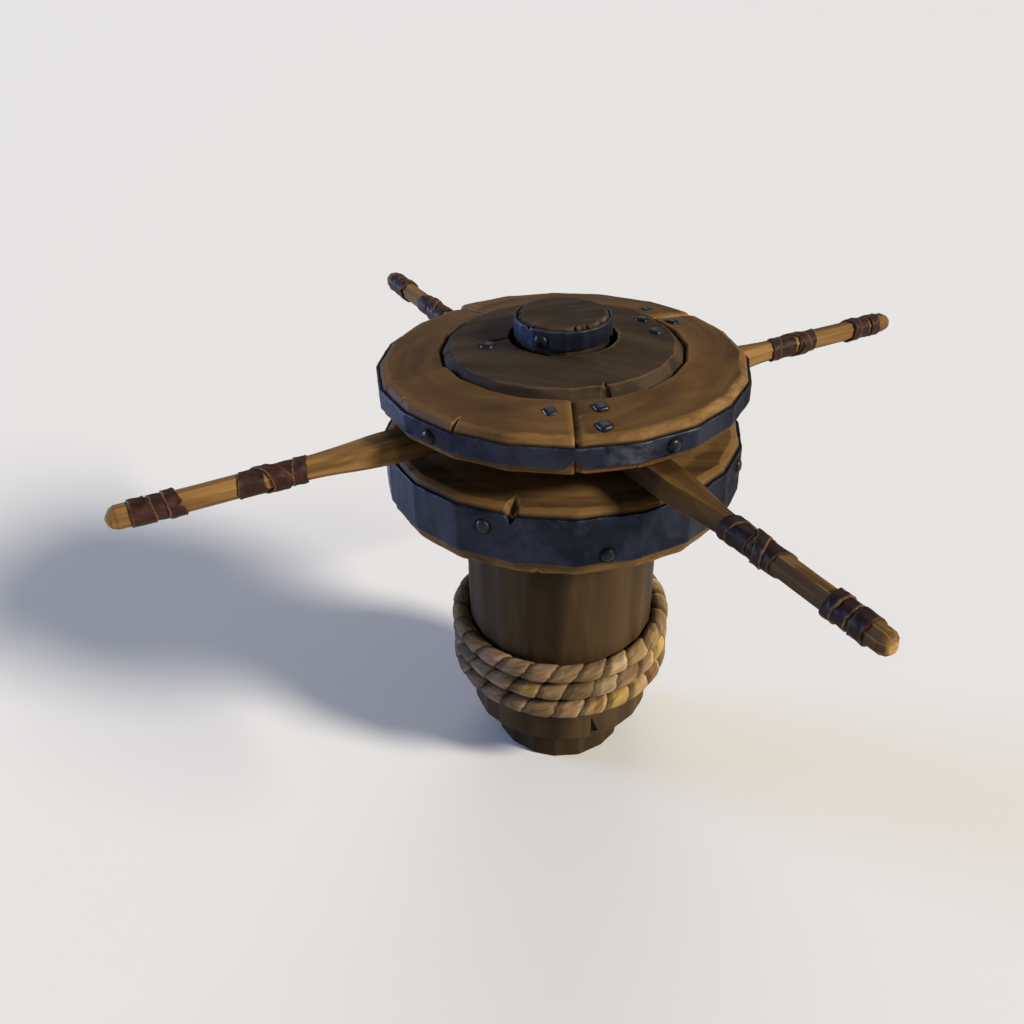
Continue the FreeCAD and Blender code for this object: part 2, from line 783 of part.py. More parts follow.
# Raised inner disc in two halves, hollowed underneath over the tie bolt heads.
inner_profile = [
    (d("inner_hole_radius"), d("plate_top")),
    (d("inner_radius"), d("plate_top")),
    (d("inner_radius"), d("ring_inner_top") - 4),
    (d("inner_edge_radius"), d("inner_edge_top")),
    (d("inner_hole_radius") + 4, d("inner_hole_top")),
    (d("inner_hole_radius"), d("inner_hole_top") - 4),
]
pockets = []
for i in range(4):
    p = polar(VAL["tie_pitch_radius"], 45 + 90 * i)
    pockets.append(cylinder("Pocket%d" % i, Dim("23", 23.0), Dim("17", 17.0), p.x, p.y, VAL["plate_top"]))
for name, a0, a1 in (("inner_disc_back", -10.0, 159.0), ("inner_disc_front", 159.0, 350.0)):
    span = a1 - a0
    sweep = Dim("%r - Sheet.seam_gap_angle" % span, span - VAL["seam_gap_angle"])
    half = turned("Half" + name[11:], inner_profile, sweep, a0 + VAL["seam_gap_angle"] / 2)
    node(name, cut("Inner" + name[11:], half, *pockets, *[nail_hole(k) for k in HOLES[name]]))

# --- bars -----------------------------------------------------------------
# Each bar: an eight-sided root, square enough to fill its socket, a taper,
# and a round handle with two leather grips. It lies along +X here and is
# turned to its own side of the drumhead.


def octagon(hw, hh, ch):
    return [
        (hw, hh - ch), (hw - ch, hh), (-(hw - ch), hh), (-hw, hh - ch),
        (-hw, -(hh - ch)), (-(hw - ch), -hh), (hw - ch, -hh), (hw, -(hh - ch)),
    ]


def place_on_side(obj, turn):
    obj.Placement = Placement(Vector(0, 0, VAL["bar_level"]), Rotation(Vector(0, 0, 1), turn))
    obj.setExpression(".Placement.Base.z", "Sheet.bar_level")


def make_bar(tag, turn):
    body = doc.addObject("PartDesign::Body", "Bar" + tag)
    root_pts = octagon(d("bar_half_width"), d("bar_half_height"), d("bar_chamfer"))
    sk = outline(body, "Root" + tag, "YZ_Plane", root_pts, d("bar_root"))
    pad = body.newObject("PartDesign::Pad", "RootPad" + tag)
    pad.Profile = sk
    pad.Length = VAL["bar_taper_start"] - VAL["bar_root"]
    pad.setExpression("Length", "Sheet.bar_taper_start - Sheet.bar_root")
    body.Tip = pad
    doc.recompute()
    near = outline(body, "TaperNear" + tag, "YZ_Plane", root_pts, d("bar_taper_start"))
    small = d("bar_radius") * math.cos(math.pi / 8)
    far = outline(
        body, "TaperFar" + tag, "YZ_Plane",
        octagon(small, small, d("bar_radius") * (math.cos(math.pi / 8) - math.sin(math.pi / 8))),
        d("bar_taper_end"),
    )
    loft = body.newObject("PartDesign::AdditiveLoft", "Taper" + tag)
    loft.Profile = near
    loft.Sections = [far]
    loft.Ruled = True
    body.Tip = loft
    doc.recompute()
    handle_sk = outline(
        body, "HandleSection" + tag, "XY_Plane",
        [
            (d("bar_taper_end"), ZERO),
            (d("bar_tip"), ZERO),
            (d("bar_tip"), d("bar_radius") - 15),
            (d("bar_tip") - 8, d("bar_radius") - 5),
            (d("bar_tip") - 22, d("bar_radius")),
            (d("bar_taper_end"), d("bar_radius")),
        ],
    )
    handle = body.newObject("PartDesign::Revolution", "Handle" + tag)
    handle.Profile = handle_sk
    handle.ReferenceAxis = (handle_sk, ["H_Axis"])
    handle.Angle = 360.0
    body.Tip = handle
    place_on_side(body, turn)
    return body


def make_wrap(tag, turn, start, end):
    body = doc.addObject("PartDesign::Body", "Wrap" + tag)
    sk = outline(
        body, "WrapSection" + tag, "XY_Plane",
        [
            (start, d("bar_radius")), (end, d("bar_radius")),
            (end, d("wrap_radius") - 1), (end - 2, d("wrap_radius")),
            (start + 2, d("wrap_radius")), (start, d("wrap_radius") - 1),
        ],
    )
    rev = body.newObject("PartDesign::Revolution", "WrapTurn" + tag)
    rev.Profile = sk
    rev.ReferenceAxis = (sk, ["H_Axis"])
    rev.Angle = 360.0
    body.Tip = rev
    place_on_side(body, turn)
    return body


for side, turn in (("right", 0.0), ("back", 90.0), ("left", 180.0), ("front", 270.0)):
    node("bar_" + side, make_bar(side.title(), turn))
    node(
        "grip_inner_" + side,
        make_wrap("Inner" + side.title(), turn, d("inner_wrap_start"), d("inner_wrap_end")),
    )
    node(
        "grip_outer_" + side,
        make_wrap("Outer" + side.title(), turn, d("outer_wrap_start"), d("outer_wrap_end")),
    )

doc.recompute()

# --- checks and export ----------------------------------------------------
bad = []
for obj in doc.Objects:
    state = list(obj.State)
    if "Invalid" in state or "Error" in state:
        bad.append("%s (%s): %s" % (obj.Name, obj.Label, state))
for name, obj in NODES.items():
    shape = obj.Shape
    if shape.isNull() or not shape.isValid() or not shape.Solids:
        bad.append("%s: no valid solid" % name)
if bad:
    raise RuntimeError("; ".join(bad))
for name, obj in sorted(NODES.items()):
    obj.Shape.exportStep("parts/%s.step" % name)
    print("%-22s solids %2d  volume %10.0f mm3" % (name, len(obj.Shape.Solids), obj.Shape.Volume))
print(len(NODES), "nodes")
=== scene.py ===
import bpy
import math
import numpy as np
from mathutils import Matrix, Vector


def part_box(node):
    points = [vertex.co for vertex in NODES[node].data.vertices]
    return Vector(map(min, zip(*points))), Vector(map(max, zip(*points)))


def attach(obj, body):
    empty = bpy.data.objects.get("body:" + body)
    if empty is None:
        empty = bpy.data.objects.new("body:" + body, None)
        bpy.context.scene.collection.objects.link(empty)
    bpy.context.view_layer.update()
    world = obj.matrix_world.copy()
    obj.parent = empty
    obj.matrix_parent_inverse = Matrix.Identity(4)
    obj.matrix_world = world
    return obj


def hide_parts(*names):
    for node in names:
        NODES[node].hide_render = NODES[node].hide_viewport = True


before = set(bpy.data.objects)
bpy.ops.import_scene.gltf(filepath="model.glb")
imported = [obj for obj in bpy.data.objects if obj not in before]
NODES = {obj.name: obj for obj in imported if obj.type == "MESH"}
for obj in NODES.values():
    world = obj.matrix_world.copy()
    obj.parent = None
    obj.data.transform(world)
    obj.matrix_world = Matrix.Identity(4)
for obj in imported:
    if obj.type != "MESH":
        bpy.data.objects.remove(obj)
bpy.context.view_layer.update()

MM = 0.001
D2R = math.pi / 180

# ------------------------------------------------------------------ levels
lo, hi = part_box("lower_disc")
LOW_BOT, LOW_TOP = lo.z, hi.z
lo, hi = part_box("lower_band")
LB0, LB1, LBR = lo.z, hi.z, hi.x
lo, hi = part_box("upper_band")
UB0, UB1, UBR = lo.z, hi.z, hi.x
lo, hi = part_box("ring_right")
RING_BOT, RING_TOP = lo.z, hi.z
lo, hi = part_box("inner_disc_front")
IN_BOT, IN_TOP = lo.z, hi.z
lo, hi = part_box("cap_block")
CAP_BOT, CAP_TOP = lo.z, hi.z
lo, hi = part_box("cap_hoop")
HP0, HP1, HPR = lo.z, hi.z, hi.x
lo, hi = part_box("barrel")
BAR_BOT, BAR_TOP = lo.z, hi.z
lo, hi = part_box("foot_block")
FOOT_TOP, FOOT_R = hi.z, hi.x
lo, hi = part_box("bar_right")
BAR_Z = (lo.z + hi.z) / 2
BAR_IN, BAR_OUT = lo.x, hi.x


# ------------------------------------------------------------------- noise
def _table(seed):
    r = np.random.default_rng(seed)
    p = r.permutation(256)
    return np.concatenate([p, p, p[:2]])


_GR = np.array([[1, 1, 0], [-1, 1, 0], [1, -1, 0], [-1, -1, 0], [1, 0, 1], [-1, 0, 1], [1, 0, -1], [-1, 0, -1],
                [0, 1, 1], [0, -1, 1], [0, 1, -1], [0, -1, -1], [1, 1, 0], [-1, 1, 0], [0, -1, 1], [0, -1, -1]], float)


def noise(P, seed=0):
    """Gradient noise in about -1 to 1 at the points P (n, 3)."""
    p = _table(seed)
    base = np.floor(P).astype(np.int64)
    f = P - base
    i = base & 255
    u = f * f * f * (f * (f * 6 - 15) + 10)
    out = 0.0
    for dx in (0, 1):
        wx = u[:, 0] if dx else 1 - u[:, 0]
        a = p[i[:, 0] + dx]
        for dy in (0, 1):
            wy = u[:, 1] if dy else 1 - u[:, 1]
            b = p[a + i[:, 1] + dy - (a + i[:, 1] + dy > 511) * 256]
            for dz in (0, 1):
                wz = u[:, 2] if dz else 1 - u[:, 2]
                k = b + i[:, 2] + dz
                h = p[k - (k > 511) * 256] & 15
                g = _GR[h]
                q = f - np.array([dx, dy, dz])
                out = out + wx * wy * wz * (g * q).sum(1)
    return out


def fbm(P, octaves=3, seed=0, gain=0.5):
    total, amp, scale = 0.0, 1.0, 1.0
    for o in range(octaves):
        total = total + amp * noise(P * scale + 17.3 * o, seed + o)
        amp *= gain
        scale *= 2.03
    return total


def smooth(x, a, b):
    t = np.clip((x - a) / (b - a), 0, 1)
    return t * t * (3 - 2 * t)


# ------------------------------------------------------------ mesh helpers
def mesh_object(name, V, quads, tris=None, ngons=None, flat=False):
    me = bpy.data.meshes.new(name)
    V = np.asarray(V, np.float32)
    loops, starts, totals = [], [], []
    at = 0
    for arr, n in ((quads, 4), (tris, 3)):
        if arr is not None and len(arr):
            arr = np.asarray(arr, np.int32)
            loops.append(arr.ravel())
            starts.append(at + n * np.arange(len(arr)))
            totals.append(np.full(len(arr), n))
            at += arr.size
    for g in ngons or []:
        g = np.asarray(g, np.int32)
        loops.append(g)
        starts.append(np.array([at]))
        totals.append(np.array([len(g)]))
        at += len(g)
    loops = np.concatenate(loops).astype(np.int32)
    starts = np.concatenate(starts).astype(np.int32)
    totals = np.concatenate(totals).astype(np.int32)
    me.vertices.add(len(V))
    me.vertices.foreach_set("co", V.ravel())
    me.loops.add(len(loops))
    me.loops.foreach_set("vertex_index", loops)
    me.polygons.add(len(starts))
    me.polygons.foreach_set("loop_start", starts)
    me.polygons.foreach_set("loop_total", totals)
    me.update(calc_edges=True)
    me.polygons.foreach_set("use_smooth", np.full(len(starts), not flat, dtype=bool))
    me.validate()
    me.update()
    ob = bpy.data.objects.new(name, me)
    bpy.context.scene.collection.objects.link(ob)
    return ob


def attribute(ob, name, values):
    values = np.asarray(values, np.float32)
    kind = "FLOAT_VECTOR" if values.ndim == 2 else "FLOAT"
    me = ob.data
    if name in me.attributes:
        me.attributes.remove(me.attributes[name])
    a = me.attributes.new(name, kind, "POINT")
    a.data.foreach_set("vector" if values.ndim == 2 else "value", values.ravel())


def coords(ob):
    co = np.zeros(len(ob.data.vertices) * 3, np.float32)
    ob.data.vertices.foreach_get("co", co)
    return co.reshape(-1, 3).astype(float)


def edge_marks(ob, size=0.004, wide=0.012, gain=3.2):
    """Stores how far each point stands out of its surroundings: edges that get a pale colour from use and painted
    highlight, hollows that get painted shade, and a broad band for a painted highlight.
    """
    me = ob.data
    n = len(me.vertices)
    V = coords(ob)
    N = np.zeros(n * 3, np.float32)
    me.vertex_normals.foreach_get("vector", N)
    N = N.reshape(-1, 3)
    E = np.zeros(len(me.edges) * 2, np.int32)
    me.edges.foreach_get("vertices", E)
    E = E.reshape(-1, 2)
    L = np.linalg.norm(V[E[:, 0]] - V[E[:, 1]], axis=1)
    mean = float(np.median(L))
    fine_steps = int(np.clip(round((size / mean) ** 2 * 2.0), 1, 14))
    wide_steps = int(np.clip(round((wide / mean) ** 2 * 2.0), fine_steps + 1, 44))
    deg = np.bincount(E.ravel(), minlength=n).astype(float)
    deg[deg == 0] = 1
    S = V.copy()
    out = []
    for step in range(wide_steps):
        acc = np.zeros_like(S)
        for k in range(3):
            acc[:, k] = np.bincount(E[:, 0], weights=S[E[:, 1], k], minlength=n) + np.bincount(
                E[:, 1], weights=S[E[:, 0], k], minlength=n)
        S = 0.5 * S + 0.5 * acc / deg[:, None]
        if step + 1 in (fine_steps, wide_steps):
            out.append(((V - S) * N).sum(1))
    attribute(ob, "wear_and_highlight", np.clip(out[0] / size * gain, 0, 1))
    attribute(ob, "hollow_shade", np.clip(-out[0] / size * gain, 0, 1))
    attribute(ob, "painted_highlight", np.clip(out[-1] / wide * gain, 0, 1))


def settle(ob, body, material, replaces=()):
    ob.data.materials.clear()
    ob.data.materials.append(material)
    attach(ob, body)
    if replaces:
        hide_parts(*replaces)
    return ob


def profile(corners, step=0.005, arc=0.0016):
    """Dense closed outline in (r, z) from corners (r, z, fillet radius), with outward normals."""
    n = len(corners)
    pts = []
    for k in range(n):
        p = np.array(corners[k][:2], float)
        a = np.array(corners[k - 1][:2], float)
        b = np.array(corners[(k + 1) % n][:2], float)
        rad = corners[k][2]
        ua, ub = a - p, b - p
        la, lb = np.linalg.norm(ua), np.linalg.norm(ub)
        ua, ub = ua / la, ub / lb
        half = math.acos(np.clip(ua @ ub, -1, 1)) / 2
        if rad <= 0 or half > math.pi / 2 - 0.02:
            pts.append(p)
            continue
        back = min(rad / math.tan(half), 0.48 * la, 0.48 * lb)
        rad = back * math.tan(half)
        c = p + (ua + ub) / np.linalg.norm(ua + ub) * (rad / math.sin(half))
        s, e = p + ua * back - c, p + ub * back - c
        sweep = math.pi - 2 * half
        m = max(2, int(math.ceil(rad * sweep / arc)))
        m = min(m, 14)
        a0 = math.atan2(s[1], s[0])
        turn = s[0] * e[1] - s[1] * e[0]
        sg = 1 if turn > 0 else -1
        for i in range(m + 1):
            t = a0 + sg * sweep * i / m
            pts.append(c + rad * np.array([math.cos(t), math.sin(t)]))
    out = []
    n = len(pts)
    for k in range(n):
        p, q = pts[k], pts[(k + 1) % n]
        d = np.linalg.norm(q - p)
        if d < 1e-7:
            continue
        m = max(1, int(math.ceil(d / step - 0.2)))
        for i in range(m):
            out.append(p + (q - p) * i / m)
    P = np.array(out)
    T = np.roll(P, -1, 0) - np.roll(P, 1, 0)
    area = 0.5 * np.sum(P[:, 0] * np.roll(P[:, 1], -1) - np.roll(P[:, 0], -1) * P[:, 1])
    N = np.stack([T[:, 1], -T[:, 0]], 1) * (1 if area > 0 else -1)
    N /= np.linalg.norm(N, axis=1)[:, None]
    if area < 0:
        P, N = P[::-1], N[::-1]
    return P, N


class Facets:
    """A many-sided outline instead of a circle, hewn a little unevenly."""

    def __init__(self, count, start, seed, ja=0.8, jr=0.003, gain=1.005, round_deg=0.5):
        r = np.random.default_rng(seed)
        self.va = start + 360.0 / count * np.arange(count) + r.uniform(-ja, ja, count)
        self.va[0] = start
        self.rv = gain * (1 + r.uniform(-jr, jr, count))
        self.rv[0] = gain
        self.count = count
        self.round_deg = round_deg

    def raw(self, phi):
        rel = np.mod(phi - self.va[0], 360.0)
        base = np.concatenate([np.mod(self.va - self.va[0], 360.0), [360.0]])
        k = np.clip(np.searchsorted(base, rel, side="right") - 1, 0, self.count - 1)
        a, b = base[k], base[k + 1]
        ra, rb = self.rv[k], self.rv[(k + 1) % self.count]
        den = ra * np.sin((rel - a) * D2R) + rb * np.sin((b - rel) * D2R)
        return ra * rb * np.sin((b - a) * D2R) / den

    def gain(self, phi):
        w = self.round_deg
        return sum(self.raw(phi + o * w) for o in (-1, -0.5, 0, 0.5, 1)) / 5

    def facet(self, phi):
        rel = np.mod(phi - self.va[0], 360.0)
        base = np.mod(self.va - self.va[0], 360.0)
        return np.clip(np.searchsorted(base, rel, side="right") - 1, 0, self.count - 1)


def angles(a0, a1, facets, base, feats=(), closed=False):
    """Column azimuths from a0 to a1, denser at the facets' corners and at features."""
    span = a1 - a0
    grid = [a0 + span * i / max(2, int(span / base)) for i in range(max(2, int(span / base)) + 1)]
    extra = []
    for v in facets.va:
        for k in (-1, 0, 1, 2):
            c = v + 360 * k
            extra += [c + o for o in (-0.9, -0.6, -0.3, 0.0, 0.3, 0.6, 0.9)]
    for az, half, fine in feats:
        for k in (-1, 0, 1):
            c = az + 360 * k
            m = int(half / fine)
            extra += [c + o * fine for o in range(-m, m + 1)]
    extra = [e for e in extra if a0 + 0.02 < e < a1 - 0.02]
    ex = np.sort(np.array(extra)) if extra else np.array([])
    keep = []
    for g in grid:
        if len(ex) == 0 or np.min(np.abs(ex - g)) > base * 0.45 or g in (grid[0], grid[-1]):
            keep.append(g)
    allv = np.sort(np.concatenate([ex, np.array(keep)]))
    out = [allv[0]]
    for v in allv[1:]:
        if v - out[-1] > 0.045:
            out.append(v)
    out = np.array(out)
    if closed:
        return out[:-1] if out[-1] > a1 - 0.05 else out
    out[-1] = a1
    return out


def lathe(name, corners, facets, a0, a1, step=0.005, base=0.6, feats=(), shape=None, ends=None, rough=0.0006,
          seed=1, hew=0.001):
    """A turned and hewn piece as a mesh of its own. shape(phi, r, z, nr, nz) gives offsets (along normal, dz)."""
    P, N = profile(corners, step)
    closed = a1 - a0 >= 359.999
    phi = angles(a0, a1, facets, base, feats, closed)
    if not closed and ends:
        for e, sign, origin in ((ends[0], 1, a0), (ends[1], -1, a1)):
            rmid = 0.4
            steps = np.array([0.0, 0.1, 0.22, 0.4, 0.62, 0.85, 1.0]) * e[0] / rmid / D2R
            add = origin + sign * steps
            phi = np.concatenate([phi[(np.abs(phi - origin) > steps[-1] + 0.03)], add])
        phi = np.unique(np.round(phi, 5))
    nj, ni = len(phi), len(P)
    big = P[:, 0].max()
    G = 1 + (facets.gain(phi)[:, None] - 1) * smooth(P[None, :, 0], 0.2 * big, 0.6 * big)
    r = P[None, :, 0] * G
    z = np.repeat(P[None, :, 1], nj, 0)
    nr = np.repeat(N[None, :, 0], nj, 0)
    nz = np.repeat(N[None, :, 1], nj, 0)
    F = np.repeat(phi[:, None], ni, 1)
    if not closed and ends:
        arc0 = (F - a0) * D2R * r
        arc1 = (a1 - F) * D2R * r
        inset = np.zeros_like(r)
        for arc, e in ((arc0, ends[0]), (arc1, ends[1])):
            t = np.clip(1 - arc / e[0], 0, 1)
            inset += e[1] * (1 - np.sqrt(np.clip(1 - t * t, 0, 1)))
        r = r - nr * inset
        z = z - nz * inset
    if shape is not None:
        dr, dz = shape(F, r, z, nr, nz, G)
        r = r + dr
        z = z + dz
    c, s = np.cos(F * D2R), np.sin(F * D2R)
    X = np.stack([r * c, r * s, z], -1).reshape(-1, 3)
    NN = np.stack([nr * c, nr * s, nz], -1).reshape(-1, 3)
    d = hew * fbm(X * 9.0, 2, seed) + rough * fbm(X * 45.0, 3, seed + 7)
    X = X + NN * d[:, None]
    idx = np.arange(nj * ni).reshape(nj, ni)
    nxt_i = np.roll(idx, -1, 1)
    if closed:
        A, B = idx, np.roll(idx, -1, 0)
        A2, B2 = nxt_i, np.roll(nxt_i, -1, 0)
    else:
        A, B = idx[:-1], idx[1:]
        A2, B2 = nxt_i[:-1], nxt_i[1:]
    quads = np.stack([A.ravel(), B.ravel(), B2.ravel(), A2.ravel()], 1)
    caps = []
    if not closed:
        caps = [idx[0], idx[-1][::-1]]
    ob = mesh_object(name, X, quads, ngons=caps)
    attribute(ob, "facet", facets.facet(F).reshape(-1) * 0.618 % 1.0)
    ob["phi"] = 0
    return ob, F.reshape(-1), r.reshape(-1), z.reshape(-1)


# --------------------------------------------------------------- materials
class Tree:
    def __init__(self, name):
        self.mat = bpy.data.materials.new(name)
        self.mat.use_nodes = True
        self.nt = self.mat.node_tree
        self.nt.nodes.clear()
        self.out = self.add("ShaderNodeOutputMaterial")
        self.bsdf = self.add("ShaderNodeBsdfPrincipled")
        self.link(self.bsdf.outputs[0], self.out.inputs[0])

    def add(self, kind, **kw):
        n = self.nt.nodes.new(kind)
        for k, v in kw.items():
            setattr(n, k, v)
        return n

    def link(self, a, b):
        self.nt.links.new(a, b)

    def attr(self, name, vector=False):
        n = self.add("ShaderNodeAttribute", attribute_name=name, attribute_type="GEOMETRY")
        return n.outputs["Vector"] if vector else n.outputs["Fac"]

    def mapped(self, vec, scale, loc=(0, 0, 0)):
        n = self.add("ShaderNodeMapping")
        self.link(vec, n.inputs["Vector"])
        n.inputs["Scale"].default_value = scale
        n.inputs["Location"].default_value = loc
        return n.outputs[0]

    def noise(self, vec, scale, detail=3.0, rough=0.55, distort=0.0):
        n = self.add("ShaderNodeTexNoise")
        self.link(vec, n.inputs["Vector"])
        n.inputs["Scale"].default_value = scale
        n.inputs["Detail"].default_value = detail
        n.inputs["Roughness"].default_value = rough
        n.inputs["Distortion"].default_value = distort
        return n.outputs["Fac"]

    def ramp(self, fac, stops, mode="LINEAR"):
        n = self.add("ShaderNodeValToRGB")
        self.link(fac, n.inputs[0])
        cr = n.color_ramp
        cr.interpolation = mode
        while len(cr.elements) < len(stops):
            cr.elements.new(0.5)
        for e, (pos, col) in zip(cr.elements, stops):
            e.position = pos
            if isinstance(col, (int, float)):
                col = (col, col, col)
            e.color = (*col, 1)
        return n.outputs[0]

    def mix(self, fac, a, b, mode="MIX"):
        n = self.add("ShaderNodeMix", data_type="RGBA", blend_type=mode)
        for sock, val in ((n.inputs[0], fac), (n.inputs[6], a), (n.inputs[7], b)):
            if isinstance(val, (int, float)):
                sock.default_value = val
            elif isinstance(val, tuple):
                sock.default_value = (*val, 1)
            else:
                self.link(val, sock)
        return n.outputs[2]

    def math(self, op, a, b=None, clamp=False):
        n = self.add("ShaderNodeMath", operation=op, use_clamp=clamp)
        for sock, val in ((n.inputs[0], a), (n.inputs[1], b)):
            if val is None:
                continue
            if isinstance(val, (int, float)):
                sock.default_value = val
            else:
                self.link(val, sock)
        return n.outputs[0]

    def bump(self, height, strength, distance=0.001, normal=None):
        n = self.add("ShaderNodeBump")
        n.inputs["Strength"].default_value = strength
        n.inputs["Distance"].default_value = distance
        self.link(height, n.inputs["Height"])
        if normal is not None:
            self.link(normal, n.inputs["Normal"])
        return n.outputs[0]


def scaled(c, k):
    return (c[0] * k, c[1] * k, c[2] * k)


def wood(name, dark, mid, light, pale_wear_and_highlight, painted_shade=(0.008, 0.005, 0.003), strokes=0.75, fibres=0.3, rough=0.64, spec=0.07,
         broad=(2.2, 7, 7), brush=(5, 30, 30), rim_gain=0.8):
    """Hand-hewn, oiled wood: long soft strokes along the grain, faint fibres, edges paled by use and painted
    highlight, painted shade in hollows and along joints.
    """
    t = Tree(name)
    g = t.attr("grain", True)
    big = t.noise(t.mapped(g, broad), 1.0, 2, 0.5, 0.9)
    brush1 = t.noise(t.mapped(g, brush, (3, 1, 2)), 1.0, 2, 0.5, 0.5)
    brush2 = t.noise(t.mapped(g, (brush[0] * 2.1, brush[1] * 2.4, brush[2] * 2.4), (8, 5, 4)), 1.0, 2, 0.5, 0.3)
    fibre = t.noise(t.mapped(g, (12, 300, 300), (7, 4, 1)), 1.0, 3, 0.62)
    col = t.ramp(big, [(0.33, dark), (0.5, mid), (0.67, light)])
    col = t.mix(t.math("MULTIPLY", t.ramp(brush1, [(0.49, 0.0), (0.60, 1.0)]), 0.55 * strokes), col, scaled(light, 1.12))
    col = t.mix(t.math("MULTIPLY", t.ramp(brush1, [(0.38, 1.0), (0.50, 0.0)]), 0.55 * strokes), col, scaled(dark, 0.9))
    col = t.mix(t.math("MULTIPLY", t.ramp(brush2, [(0.36, 1.0), (0.47, 0.0)]), 0.42 * strokes), col, scaled(dark, 0.8))
    col = t.mix(t.math("MULTIPLY", t.ramp(brush2, [(0.55, 0.0), (0.66, 1.0)]), 0.30 * strokes), col, scaled(light, 1.25))
    col = t.mix(t.math("MULTIPLY", t.ramp(fibre, [(0.34, 1.0), (0.48, 0.0)]), fibres), col, scaled(dark, 0.55))
    col = t.mix(1.0, col, t.ramp(t.attr("tone"), [(0.0, 0.52), (0.5, 1.0), (1.0, 1.55)]), "MULTIPLY")
    # painted highlight band along the edges
    painted_highlight = t.math("ADD", t.attr("painted_highlight"), t.math("MULTIPLY", t.math("SUBTRACT", brush1, 0.5), 0.9))
    col = t.mix(t.math("MULTIPLY", t.ramp(painted_highlight, [(0.16, 0.0), (0.30, 1.0)]), rim_gain * 0.62, True), col, scaled(light, 1.5))
    # edges paled by use, with painted highlight
    w = t.math("MULTIPLY", t.attr("wear_and_highlight"), t.ramp(t.noise(t.mapped(g, (24, 44, 44)), 1.0, 3, 0.6), [(0.34, 0.35), (0.6, 1.0)]))
    col = t.mix(t.math("MULTIPLY", t.ramp(w, [(0.07, 0.0), (0.42, 1.0)]), 0.85, True), col, pale_wear_and_highlight)
    # painted shade in hollows and along joints
    col = t.mix(t.ramp(t.attr("hollow_shade"), [(0.10, 0.0), (0.55, 0.94)]), col, painted_shade)
    col = t.mix(t.math("MULTIPLY", t.attr("painted_shade"), 0.95), col, painted_shade)
    t.link(col, t.bsdf.inputs["Base Color"])
    rr = t.ramp(t.math("ADD", t.math("MULTIPLY", fibre, 0.4), t.math("MULTIPLY", big, 0.6)), [(0.35, rough - 0.08), (0.65, rough + 0.14)])
    t.link(rr, t.bsdf.inputs["Roughness"])
    h = t.math("ADD", t.math("MULTIPLY", fibre, 0.35), t.math("MULTIPLY", brush2, 1.0))
    t.link(t.bump(h, 0.45, 0.0018), t.bsdf.inputs["Normal"])
    t.bsdf.inputs["Specular IOR Level"].default_value = spec
    return t.mat


def iron(name="forged_iron", base=(0.0095, 0.0118, 0.0215), light=(0.0265, 0.0315, 0.0540), edge=(0.18, 0.19, 0.23), metal=0.62,
         pale_wear_and_highlight=0.85, spec=0.16, rough=(0.40, 0.56)):
    """Blackened wrought iron with a slate cast, hammered, its edges paled by use and painted highlight, with painted
    shade in hollows and over one side.
    """
    t = Tree(name)
    g = t.attr("grain", True)
    big = t.noise(g, 6.0, 3, 0.55, 0.6)
    small = t.noise(g, 34.0, 3, 0.55, 0.3)
    grit = t.noise(g, 240.0, 3, 0.6)
    col = t.ramp(big, [(0.34, base), (0.66, light)])
    col = t.mix(t.ramp(small, [(0.52, 0.0), (0.72, 0.5)]), col, scaled(light, 1.25))
    col = t.mix(t.ramp(small, [(0.30, 0.6), (0.46, 0.0)]), col, scaled(base, 0.7))
    col = t.mix(t.ramp(grit, [(0.28, 0.35), (0.42, 0.0)]), col, scaled(base, 0.5))
    w = t.math("MULTIPLY", t.attr("wear_and_highlight"), t.ramp(small, [(0.36, 0.35), (0.6, 1.0)]))
    w = t.ramp(w, [(0.08, 0.0), (0.5, 1.0)])
    col = t.mix(t.math("MULTIPLY", w, pale_wear_and_highlight), col, edge)
    # painted shade in hollows and on shaded parts; the metal's shine is taken away there too
    col = t.mix(t.ramp(t.attr("hollow_shade"), [(0.08, 0.0), (0.5, 0.95)]), col, (0.003, 0.003, 0.004))
    col = t.mix(t.math("MULTIPLY", t.attr("painted_shade"), 0.95), col, (0.003, 0.003, 0.004))
    t.link(col, t.bsdf.inputs["Base Color"])
    shine = t.math("ADD", t.math("MULTIPLY", w, 0.6), metal, True)
    t.link(t.math("MULTIPLY", shine, t.ramp(t.attr("painted_shade"), [(0.15, 1.0), (0.80, 0.0)])), t.bsdf.inputs["Metallic"])
    t.bsdf.inputs["Specular IOR Level"].default_value = spec
    r = t.ramp(small, [(0.34, rough[0]), (0.66, rough[1])])
    r = t.mix(t.math("MULTIPLY", w, 0.6), r, (0.30, 0.30, 0.30))
    t.link(r, t.bsdf.inputs["Roughness"])
    t.link(t.ramp(t.attr("painted_shade"), [(0.2, spec), (0.80, 0.012)]), t.bsdf.inputs["Specular IOR Level"])
    h = t.math("ADD", t.math("MULTIPLY", small, 1.0), t.math("MULTIPLY", grit, 0.18))
    t.link(t.bump(h, 0.32, 0.0022), t.bsdf.inputs["Normal"])
    return t.mat


